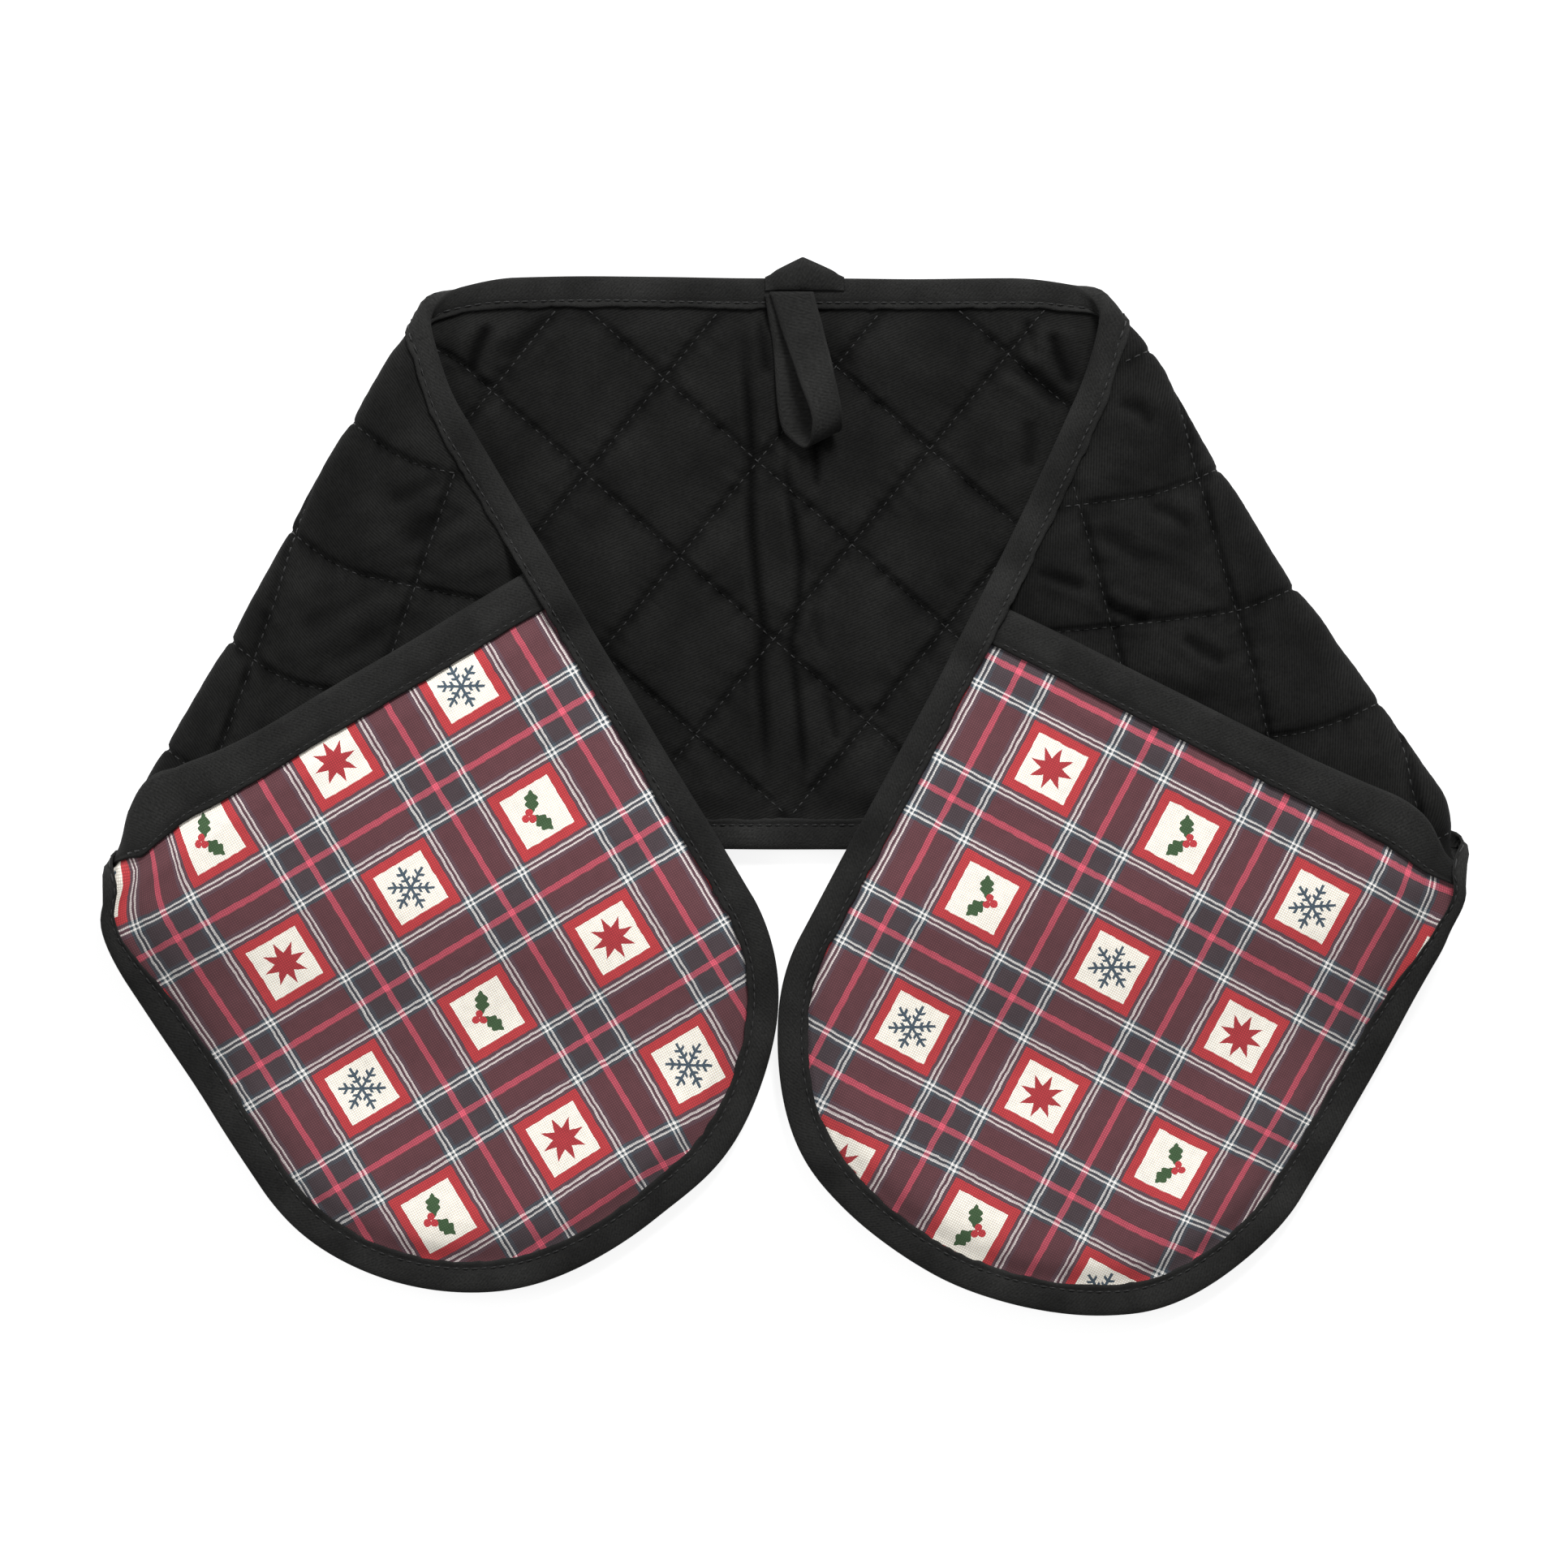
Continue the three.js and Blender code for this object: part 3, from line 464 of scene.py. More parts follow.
quiltedTwill = blackTwill("blackCottonTwill", twill["quilted"])
tapeTwill = blackTwill("blackTwillTape", twill["tape"])
printedCloth = printedCotton("printedPlainCotton", printLook)
thread = sewingThread("darkPolyesterThread", threadLook)
print("materials made")

# Quilted body. Each face has two families of stitch lines: one crossing, then angle and spacing of each
quilts = {
    "inner": {"s": -91.7, "t": 54.5, "lines": ((-41.4, 38.8), (50.6, 39.5))},
    "left": {"s": -181.8, "t": 49, "lines": ((-47, 37.5), (50.3, 41))},
    "right": {"s": 172, "t": 15.2, "lines": ((-39.5, 40), (57, 40.3))},
}
body = {
    "inset": 1.8, "edge": 1.65, "seam": 1.2, "crown": 3.25, "lowest": 0.4, "puffInset": 10.5,
    "puffWidth": 9, "roundness": 0.36, "pucker": 1.15, "puckerStart": 1.4, "puckerWidth": 4.2,
    "puckerLength": 3, "puckerDrift": 14, "groove": 0.55, "grooveWidth": 1.1, "wrinkle": 0.8,
    "wrinkleSizes": ((7, 22), (3.4, 9)), "tight": 0.75, "tightReach": 16, "rowSeed": 3.7,
    "leftEnd": 1, "meet": 4, "rightStart": 6,
    "creases": 1.6, "crease": {"fade": 5, "atEnds": 0.15, "bulge": 0.45, "bulgeAt": 2.3},
    # painted shade in the creases and the seams' valleys
    "shade": {"creaseFrom": 0.25, "creaseRange": 1.3, "seam": 0.6, "seamVaries": 0.6, "south": 0.5,
              "width": 1.9, "inset": 6, "fade": 4},
    "ringSpacing": 3.3, "firstInset": 4.2, "fineSteps": 32, "coarseSteps": 8, "reach": 900, "lines": 24,
    "mapApart": 200,
}
# the creases that the folding has pressed in: places along each, its depth and width
innerCreases = table(
    "deep wide way",
    (1.25, 1.5, [(-12.6, 79), (-11.9, 62.6), (-10.6, 50.3), (-9.6, 35), (-10, 24.3), (-9.6, 8.9),
        (-8, -6.4), (-6, -21.7), (-7.3, -34), (-6, -46.3), (-5, -61.6), (-3.4, -78)]),
    (1.15, 1.4, [(2, 40), (1.2, 28.8), (3.5, 15.1), (5.8, 1.3), (5.3, -12.5), (2.7, -24.8), (4.2, -37.1),
        (5.8, -52.4), (6.9, -64.7), (4.2, -78)]),
    (0.8, 1.3, [(-7.3, 79), (-6, 68), (-4.6, 58)]),
    (0.9, 1.3, [(9.4, 44), (10.8, 34), (10.9, 22)]),
    (0.6, 1.5, [(8.6, 2), (9.4, -14), (13.4, -30)]),
    (0.8, 1.3, [(14.6, -40), (15.6, -48), (17.6, -57)]),
    (1.1, 2.4, [(-99.5, 58), (-96.5, 67), (-92, 77)]),
    (0.7, 2.6, [(-88, 62), (-80, 72), (-72, 79)]),
    (1.2, 2.2, [(84, 74), (87, 65), (91, 54)]),
    (0.9, 1.8, [(76.5, 79), (78.5, 71), (81, 64)]),
    (0.9, 2.2, [(71, 63), (80, 57), (90, 48)]),
    (0.7, 3, [(77.5, 46), (78.5, 38), (77, 28)]),
)
outerCreases = table(
    "deep wide way",
    (0.9, 1.6, [(188.1, 79), (187.9, 70.8), (186.2, 60.2)]),
    (1.1, 1.7, [(186.4, 56.2), (188.6, 50.1), (188, 42.8), (185.8, 37.5)]),
    (0.8, 1.8, [(128, 78), (128.4, 68.1), (131.1, 61.8)]),
    (0.7, 2, [(152.8, 55), (152.8, 46.1), (155.2, 38)]),
    (0.8, 1.8, [(186.2, 28.4), (188.4, 19.8), (188.5, 10.9)]),
    (0.5, 2.4, [(168.2, 68.5), (169, 56.8), (171.3, 45.6)]),
    (0.6, 4, [(-176, 8), (-176, 26), (-177, 46)]),
    (0.6, 4, [(-188, 10), (-188, 30), (-190, 50)]),
    (0.6, 3.4, [(-156, 54), (-156, 66), (-157, 76)]),
    (0.6, 3.4, [(-168, 52), (-169, 66), (-170, 78)]),
    (0.5, 3, [(-178, 58), (-179, 71), (-180, 80)]),
)


def creased(creases, s, t):
    # how deep the creases lie, each between two low bulges and fading at its ends
    shape, sunk = body["crease"], np.zeros(np.shape(s))
    for crease in creases:
        way = np.array(crease["way"], float)
        near = np.full(np.shape(s), 1e9)
        placeAlong = np.zeros(np.shape(s))
        for k, (a, b) in enumerate(zip(way[:-1], way[1:])):
            edge = b - a
            share = clamp01(((s - a[0]) * edge[0] + (t - a[1]) * edge[1]) / edge.dot(edge))
            away = np.hypot(s - a[0] - share * edge[0], t - a[1] - share * edge[1])
            placeAlong = np.where(away < near, (k + share) / (len(way) - 1), placeAlong)
            near = np.minimum(near, away)
        middle = smooth(shape["fade"] * placeAlong) * smooth(shape["fade"] * (1 - placeAlong))
        fade = middle * (1 - shape["atEnds"]) + shape["atEnds"]
        wide = crease["wide"]
        bulge = shape["bulge"] * bell(near - shape["bulgeAt"] * wide, wide)
        sunk += crease["deep"] * fade * (bell(near, wide) - bulge)
    return sunk


def seamLines(quilt, s, t):
    # for both families of stitch lines: seed, place in lines, place along them, spacing
    for seed, (angle, spacing) in enumerate(quilt["lines"]):
        cos, sin = cosSin(angle)
        line = ((t - quilt["t"]) * cos - (s - quilt["s"]) * sin) / spacing
        yield seed, line, (s - quilt["s"]) * cos + (t - quilt["t"]) * sin, spacing


def paintedSeamShade(quilt, creases, s, t):
    # share of painted shade in the creases and the seams' valleys, shifted a little to one side of each
    # seam
    look = body["shade"]
    sunk = creased(creases, s, t) * body["creases"]
    shade = clamp01((sunk - look["creaseFrom"]) / look["creaseRange"])
    for seed, line, along, spacing in seamLines(quilt, s, t):
        off = (line - np.round(line)) * spacing
        gathers = uneven(along / body["puckerLength"], np.round(line) * body["rowSeed"], seed)
        low = clamp01(look["seam"] + look["seamVaries"] * gathers)
        shade = np.maximum(shade, low * bell(off + look["south"], look["width"]))
    return shade * smooth((insetOf(s, t) - look["inset"]) / look["fade"])


def quiltedHeight(quilt, creases, s, t):
    # height of a face over the middle of the cloth: low on the stitch lines, round between them
    puff = smooth((insetOf(s, t) - body["puffInset"]) / body["puffWidth"])
    rise, pucker = 1, 0
    for seed, line, along, spacing in seamLines(quilt, s, t):
        cell = line - np.floor(line)
        off = np.minimum(cell, 1 - cell) * spacing
        rise = rise * np.maximum(4 * cell * (1 - cell), 0) ** body["roundness"]
        pucker = pucker - body["groove"] * bell(off, body["grooveWidth"])
        row = np.round(line) * body["rowSeed"] + off / body["puckerDrift"]
        size = body["pucker"] * smooth(off / body["puckerStart"]) * np.exp(-off / body["puckerWidth"])
        pucker = pucker + size * uneven(along / body["puckerLength"], row, seed)
    coarse, fine = body["wrinkleSizes"]
    wrinkle = body["wrinkle"] * uneven(s / coarse[0], t / coarse[1], 5)
    wrinkle = wrinkle + 0.5 * body["wrinkle"] * uneven(s / fine[0], t / fine[1], 6)
    top = body["seam"] + (body["crown"] - body["seam"]) * rise
    # the cloth is drawn tight over the folds, so that it gathers less there
    loose = 1 - body["tight"] * smooth(1 - np.abs(pastFold(s, t) - rollArc / 2) / body["tightReach"])
    quilted = top + (pucker + wrinkle * rise) * loose - body["creases"] * creased(creases, s, t)
    return body["edge"] * (1 - puff) + np.maximum(quilted, body["lowest"]) * puff


def outerFace(measure, s, t):
    # a measure of the outer face, whose two lattices meet in the middle
    both = (measure(quilts[side], outerCreases, s, t) for side in ("left", "right"))
    return np.where(s < body["meet"], *both)


def outerHeight(s, t):
    return -outerFace(quiltedHeight, s, t)


# painted shade of both faces' creases and seam valleys, and the inner face's height
outerShade = partial(outerFace, paintedSeamShade)
innerHeight = partial(quiltedHeight, quilts["inner"], innerCreases)
innerShade = partial(paintedSeamShade, quilts["inner"], innerCreases)


def covered(s, t):
    # whether a folded arm lies over a place of the middle
    hidden, margin = np.zeros(np.shape(s), bool), 14
    for fold in folds:
        normal, down, past, _ = foldPlace(fold, s, t)
        overS = s - 2 * past * normal[0] - fold["slip"] * down[0]
        overT = t - 2 * past * normal[1] - fold["slip"] * down[1]
        hidden |= (s * fold["side"] > 0) & (past < 0) & (insetOf(overS, overT) > margin)
    return hidden


def onStrip(s, t):
    return (s > -strip["left"]) & (s < strip["right"]) & (np.abs(t) < halfWidth)


def innerShown(s, t):
    return (pastFold(s, t) < rollArc) & ~covered(s, t)


def outerShown(s, t):
    beforeFold, underMouth = -3, 16
    return (pastFold(s, t) > beforeFold) & (mouthDepth(s, t) < underMouth)


def quiltPlaces(quilt, shown, keep):
    # places in rows along the stitch lines: close together where the face shows, wide apart elsewhere
    (angleA, spacingA), (angleB, spacingB) = quilt["lines"]
    a, b = math.radians(angleA), math.radians(angleB)
    fine = body["fineSteps"]
    stepA, stepB = spacingB / math.sin(b - a) / fine, spacingA / math.sin(b - a) / fine
    most = int(body["reach"] / min(stepA, stepB))
    i, j = np.meshgrid(np.arange(-most, most), np.arange(-most, most))
    s = quilt["s"] + stepA * i * math.cos(a) + stepB * j * math.cos(b)
    t = quilt["t"] + stepA * i * math.sin(a) + stepB * j * math.sin(b)
    on = onStrip(s, t)
    s, t, i, j = s[on], t[on], i[on], j[on]
    gap = fine // body["coarseSteps"]
    coarse = (i % gap == 0) & (j % gap == 0)
    use = (insetOf(s, t) > body["firstInset"]) & keep(s) & (coarse | shown(s, t))
    return np.stack((s[use], t[use]), -1)


def quiltedBody():
    ring = np.stack(outlineAt(body["inset"], body["ringSpacing"]), -1)
    inner = quiltPlaces(quilts["inner"], innerShown, lambda s: True)
    left = quiltPlaces(quilts["left"], outerShown, lambda s: s < body["leftEnd"])
    right = quiltPlaces(quilts["right"], outerShown, lambda s: s > body["rightStart"])
    outer = np.concatenate((left, right))
    count, places, faces, flats, shades = len(ring), [], [], [], []
    for inside, height, shade in ((inner, innerHeight, innerShade), (outer, outerHeight, outerShade)):
        start = sum(map(len, flats))
        flat = np.concatenate((ring, inside))
        faces += [tuple(start + k for k in face) for face in sheetFaces(flat, count)]
        places.append(lay(*flat.T, height(*flat.T)))
        # painted shade in this face's creases and seam valleys
        shades.append(shade(*flat.T))
        flats.append(flat)
    # both faces share the ring's outline, joined by the cloth's narrow edge
    second = len(flats[0])
    for i in range(count):
        j = (i + 1) % count
        faces.append((i, j, second + j, second + i))
    # the outer face is seen from its own outside, so its flat map is mirrored and set apart
    flats[1] = flats[1] * (-1, 1) + (0, body["mapApart"])
    flat = np.concatenate(flats) * mm
    uvs = [flat[k] for face in faces for k in face]
    places, shade = np.concatenate(places), np.concatenate(shades)
    piece = polygonPiece("quiltedBody", places, faces, uvs, quiltedTwill, shade)
    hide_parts("quilted_body")
    return piece


quilted = quiltedBody()
print("quilted body made:", len(quilted.data.polygons), "faces")

# Pockets: heights of their two faces below the strip's outer face, as in the part's source
pocketShape = {
    "inset": 2.4, "seam": 10, "edge": 1.2, "padding": 2, "padEarly": 1, "padDepth": 12.7, "padWidth": 8,
    "lift": 7.5, "liftWidth": 16, "depth": 190, "pinch": 30, "seamDepth": 13.7, "buildStart": -12,
    "buildEnd": 23.5, "buildLength": 9, "build": 1.35, "puff": 2, "puffWidth": 11, "edgeHalf": 1.8,
    "softness": 0.35, "softSizes": ((26, 30), (11, 13)), "spacing": 2.4, "endRows": 40, "columns": 76,
    "crowded": 0.86,
}


def pocketHeights(s, t):
    look = pocketShape
    inset, depth = insetOf(s, t), mouthDepth(s, t)
    build = look["build"] * clamp01((look["buildEnd"] - depth) / look["buildLength"])
    over = look["puff"] * clamp01((inset - look["seam"]) / look["puffWidth"])
    seams = np.where(s < 0, -pastMouth(-1, look["seamDepth"], t), pastMouth(1, look["seamDepth"], t))
    seamS = np.sign(s) * np.maximum(np.abs(s), seams)
    pinch = smooth((pastFold(seamS, t) - rollArc / 2) / look["pinch"])
    across = t / (halfWidth - look["seam"])
    arch = np.maximum(0, 1 - across ** 2) * clamp01(1 - depth / look["depth"])
    lift = look["lift"] * arch * pinch * clamp01((inset - look["seam"]) / look["liftWidth"])
    near = look["edgeHalf"] + build + over + lift
    padding = look["padding"] * smooth((inset - look["seam"] + look["padEarly"]) / look["padWidth"])
    padding = padding * smooth((depth - look["padDepth"]) / look["padWidth"])
    coarse, fine = look["softSizes"]
    soft = uneven(s / coarse[0], t / coarse[1], 11) + 0.5 * uneven(s / fine[0], t / fine[1], 12)
    soft = look["softness"] * soft
    return near, near + look["edge"] + padding * (1 + soft)


def pocket(side, name):
    look = pocketShape
    straight = strip[name] - endRound
    deep, wide = endRound - look["inset"], halfWidth - look["inset"]
    rowCount = round((straight - mouths[name]["at"]) / look["spacing"])
    turn = np.linspace(0, math.pi / 2, look["endRows"])[1:]
    # closer together towards the sides, where the cloth curves down
    columns = np.sin(np.linspace(-1, 1, look["columns"]) * math.pi / 2 * look["crowded"])
    columns = columns / math.sin(math.pi / 2 * look["crowded"])
    start = pastMouth(side, body["inset"], wide * columns)
    rows = start + (side * straight - start) * np.linspace(0, 1, rowCount)[:, None]
    ends = np.repeat(side * (straight + deep * np.sin(turn))[:, None], len(columns), 1)
    s = np.concatenate((rows, ends))
    t = np.concatenate((np.full(rowCount, wide), wide * np.cos(turn)))[:, None] * columns
    near, away = pocketHeights(s, t)
    tops, unders = lay(s, t, -away), lay(s, t, -near)
    at = np.arange(s.size).reshape(s.shape)
    faces = []
    for offset in (0, at.size):
        faces += cellCorners(at + offset).reshape(-1, 4).tolist()
    rim = np.concatenate((at[0], at[1:, -1], at[-1, -2::-1], at[-2:0:-1, 0]))
    after = np.roll(rim, -1)
    faces += np.stack((rim, after, after + at.size, rim + at.size), -1).tolist()
    flat = np.concatenate((np.stack((s, t), -1).reshape(-1, 2),) * 2) * mm
    uvs = flat[np.array(faces).ravel()]
    places = np.concatenate((tops.reshape(-1, 3), unders.reshape(-1, 3)))
    piece = polygonPiece(f"pocket_{name}_cloth", places, faces, uvs, printedCloth)
    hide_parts(f"pocket_{name}")
    return piece


pockets = [pocket(-1, "left"), pocket(1, "right")]
print("pockets made")

# Binding tape, folded round the strip's outline and drawn in by its stitches
binding = {
    "spacing": 2.1, "stitch": 7.7, "cloth": 1.75, "thick": 0.85, "lipWave": 0.6, "lipLift": 0.35,
    "edgeWave": 0.35, "edgeLength": 38, "pitch": 2.9, "stitchDepth": 0.5, "rolled": 0.53, "rollDepth": -20,
    "rollLength": 15, "unrollDepth": 15, "unrollLength": 55, "pocketCloth": 1.7, "mouthTape": 2.7,
    "layersInset": 5, "leastCloth": 0.05, "flatWidth": 0.053,
}
# its outside: distance in from the edge, height over its plain face, shares of lip wave and stitch pull
tapeTop = table(
    "in up wave pull",
    (9.55, -0.8, 1, 0), (9.75, -0.4, 1, 0), (9.5, -0.02, 1, 0), (8.9, 0.05, 0.8, 0.1),
    (8.3, -0.02, 0.4, 0.6), (7.7, -0.1, 0.2, 1), (7.1, -0.02, 0.1, 0.6), (6.3, 0.03, 0, 0.1),
    (4.6, 0.05, 0, 0), (2.8, 0.03, 0, 0), (1.4, -0.08, 0, 0), (0.5, -0.42, 0, 0), (0.08, -0.95, 0, 0),
)


def layersAt(s, t):
    # thickness of the pocket and mouth tape that the binding holds below the strip
    depth = mouthDepth(s, t)
    pocketShare = clamp01((depth - pocketShape["buildStart"]) / pocketShape["buildLength"])
    mouthShare = pocketShare * clamp01((pocketShape["buildEnd"] - depth) / pocketShape["buildLength"])
    return binding["pocketCloth"] * pocketShare + binding["mouthTape"] * mouthShare


def shownShare(facing, s, t):
    # the outer lip rolls under at the lower corners, so that less of the tape shows there
    depth = mouthDepth(s, t)
    rolled = smooth((depth - binding["rollDepth"]) / binding["rollLength"])
    rolled = rolled * (1 - smooth((depth - binding["unrollDepth"]) / binding["unrollLength"])) * (t < 0)
    return 1 - (binding["rolled"] * rolled if facing < 0 else 0)


def lipUneven(here, row, coarseSeed, fineSeed):
    return uneven(here / 6, row, coarseSeed) + 0.6 * uneven(here / 2.4, row, fineSeed)


def stitchPull(here):
    # how strongly the thread draws the tape in, between 0.2 and 1 over each stitch
    return 0.6 + 0.4 * np.cos(2 * math.pi * here / binding["pitch"])


def edgeBinding():
    look = binding
    s0, t0 = outlineAt(0, look["spacing"])
    length = lengthAlong(*closedRing(s0, t0))
    here = length[:-1]
    lipWave = look["lipWave"] * lipUneven(here, 0, 21, 22)
    edgeWave = look["edgeWave"] * uneven(here / look["edgeLength"], 0, 23)
    layers = layersAt(*outlineAt(look["layersInset"], look["spacing"]))
    under = {1: look["cloth"], -1: look["cloth"] + layers}
    shown = {facing: shownShare(facing, s0, t0) for facing in (1, -1)}
    rows = []
    for facing in (1, -1):
        side = []
        for point in tapeTop:
            inset = shown[facing] * (point["in"] + point["wave"] * lipWave) + edgeWave
            height = under[facing] + look["thick"] + point["up"]
            height = height + look["lipLift"] * point["wave"] * np.abs(lipWave)
            height = height - point["pull"] * look["stitchDepth"] * stitchPull(here)
            height = facing * np.maximum(height, under[facing] + look["leastCloth"])
            side.append(lay(*ringAt(inset, look["spacing"]), height))
        rows += side if facing > 0 else side[::-1]
    # the tape's inner surface, back round the edge
    for facing, inset in ((-1, 9.3), (-1, 1), (1, 1), (1, 9.3)):
        rows.append(lay(*ringAt(inset * shown[facing], look["spacing"]), facing * under[facing]))
    piece = tapePiece("edgeTape", np.stack(rows, 1), length, look["flatWidth"], closed=True)
    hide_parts("edge_binding")
    return piece


edgeTape = edgeBinding()
print("edge binding made:", len(edgeTape.data.polygons), "faces")

# Tape folded over each pocket's mouth
mouthLook = {
    "halfLength": 87.8, "stations": 96, "wave": 0.3, "bow": 0.5, "bowLength": 45, "bowEnd": 88,
    "bowFade": 12, "flatWidth": 0.055, "stitchDepth": 0.3, "stitchFrom": -78, "stitchTo": 78.1,
    "stitchInset": 11.4, "stitchLift": 1.05,
}
# its section: depth into the pocket, outer flap or not, height, shares of lip wave and stitch pull
mouthSection = table(
    "in flap off wave pull",
    (13, 1, 0.3, 1, 0), (13.2, 1, 0.85, 1, 0), (12.6, 1, 1.25, 0.8, 0.1), (11.9, 1, 1.25, 0.3, 0.7),
    (11.3, 1, 1.2, 0.1, 1), (10.6, 1, 1.3, 0, 0.6), (9.4, 1, 1.4, 0, 0), (7, 1, 1.42, 0, 0),
    (4.5, 1, 1.4, 0, 0), (2.2, 1, 1.3, 0, 0), (0.8, 1, 0.95, 0, 0), (0.15, 1, 0.3, 0, 0),
    (0.05, 0, -0.4, 0, 0), (0.4, 0, -1.05, 0, 0), (1.6, 0, -1.35, 0, 0), (6, 0, -1.35, 0, 0),
    (12.9, 0, -1.3, 1, 0), (13, 0, -0.5, 1, 0), (6, 0, -0.5, 0, 0), (0.95, 0, -0.5, 0, 0),
    (0.95, 1, 0.5, 0, 0), (6, 1, 0.4, 0, 0),
)


def mouthTape(side, name):
    look = mouthLook
    t = np.linspace(look["halfLength"], -look["halfLength"], look["stations"])
    here = look["halfLength"] - t
    wave = look["wave"] * lipUneven(here, 3, 31 + side, 33 + side)
    bow = look["bow"] * uneven(here / look["bowLength"], 5, 35 + side)
    bow = bow * smooth((look["bowEnd"] - np.abs(t)) / look["bowFade"])
    columns = []
    for point in mouthSection:
        s = pastMouth(side, point["in"] + point["wave"] * wave + bow, t)
        near, away = pocketHeights(pastMouth(side, max(point["in"], body["inset"]), t), t)
        base = away if point["flap"] else near
        pull = point["pull"] * look["stitchDepth"] * stitchPull(here)
        columns.append(lay(s, t, -(base + point["off"] - pull)))
    piece = tapePiece(f"mouthTape_{name}", np.stack(columns, 1), here, look["flatWidth"])
    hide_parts(f"mouth_binding_{name}")
    return piece


mouthTapes = [mouthTape(-1, "left"), mouthTape(1, "right")]
print("mouth tapes made")

# Folded end of the binding over the top edge, pinched up into a small gable
bindingEnd = {
    "from": -5.5, "to": 19.5, "stations": 44, "peakAt": 6.4, "peak": 6.2, "sharpness": 0.92, "lip": 4,
    "above": 3.15, "ridge": 0.6, "ridgeWidth": 1.3, "pleat": 0.22, "pleatTurn": 2.6, "pleatFade": 3,
    "sunk": 0.75, "sunkLength": 4, "flatWidth": 0.03,
}


def tapeEnd():
    look = bindingEnd
    places = np.linspace(look["from"], look["to"], look["stations"])
    rows = []
    for s in places:
        off, toStart, toEnd = s - look["peakAt"], s - look["from"], look["to"] - s
        half = look["peakAt"] - look["from"] if off < 0 else look["to"] - look["peakAt"]
        gable = look["peak"] * max(0, 1 - abs(off) / half) ** look["sharpness"]
        ridge = look["ridge"] * math.exp(-(off / look["ridgeWidth"]) ** 2)
        pleats = look["pleat"] * math.sin(look["pleatTurn"] * s)
        ridge += pleats * clamp01(off / look["pleatFade"]) * clamp01(toEnd / look["pleatFade"])
        sunk = look["sunk"] * (1 - smooth(min(toStart, toEnd) / look["sunkLength"]))
        # out from the strip's edge and up over the tape: its outer surface, then its inner one
        outer = [(-look["lip"], 0.02), (-look["lip"] + 0.4, 0.42 - sunk), (-2, 0.55 + ridge - sunk),
                 (0.3 - sunk, 0.5 + ridge - sunk), (0.6 + gable * 0.5 - sunk, 0.1 + ridge - sunk),
                 (0.55 + gable - sunk, -1.2), (0.75 + gable * 0.9 - sunk, -2),
                 (1.05 + gable * 0.3 - sunk, -3.6), (0.9 - sunk, -5.2)]
        inner = [(0.45, -5.2), (0.5 + gable * 0.3, -3.6), (0.35 + gable * 0.85, -2),
                 (0.15 + gable * 0.9, -1.3), (0.1 + gable * 0.45, -0.4), (-0.2, -0.25), (-2, -0.25),
                 (-look["lip"], -0.25)]
        rows.append([(s, halfWidth + out, look["above"] + up) for out, up in outer + inner])
    sections = lay(*np.moveaxis(np.array(rows), -1, 0))
    piece = tapePiece("tapeEnd", sections, places, look["flatWidth"])
    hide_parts("binding_end")
    return piece


end = tapeEnd()

# Hanging loop, a folded tape
loopShape = {
    "s": 2.8, "t": 85.5, "lean": 14.2, "width": 13.8, "tucked": 12, "thick": 1.15, "stations": 90,
    "curl": 0.35, "curlLength": 17, "crumple": 0.2, "crumpleLength": 9, "flatWidth": 0.029,
}
# its way: distance down from its foot, height over the cloth's middle, sideways shift, width, skew, tilt
loopWay = table(
    "down over shift width skew tilt",
    (0, 5.1, 0, 13.8, 0, 0), (9, 6.4, 0.4, 13, 0, 0.2), (20, 8.8, 0.8, 12.2, 0, 0.6),
    (31, 12, 1.2, 11, 0.4, 1.4), (39, 13, 1.4, 9.8, 1, 2), (43.6, 12.2, 0.5, 10.6, 2, 1.8),
    (46.4, 9.6, -0.6, 11.6, 2.6, 1), (46.9, 7, -2.2, 12.6, 2.8, 0.4), (44.6, 4.9, -4.4, 13.4, 2, 0),
    (40, 4.4, -6.6, 13.8, 1, 0), (30, 4.4, -5.6, 13.8, 0, 0), (18, 4.4, -3.4, 13.8, 0, 0),
    (7, 4.1, -2.2, 13.8, 0, 0), (0.6, 3.6, -1.6, 13.8, 0, 0),
)


def smoothWay(rows, count):
    rows = np.array(rows, float)
    padded = np.concatenate((2 * rows[:1] - rows[1:2], rows, 2 * rows[-1:] - rows[-2:-1]))
    at = np.linspace(0, len(rows) - 1, count)
    k = np.minimum(at.astype(int), len(rows) - 2)
    f = (at - k)[:, None]
    a, b, c, d = (padded[k + i] for i in range(4))
    bend, twist = 2 * a - 5 * b + 4 * c - d, 3 * b - a - 3 * c + d
    return 0.5 * (2 * b + (c - a) * f + bend * f ** 2 + twist * f ** 3)


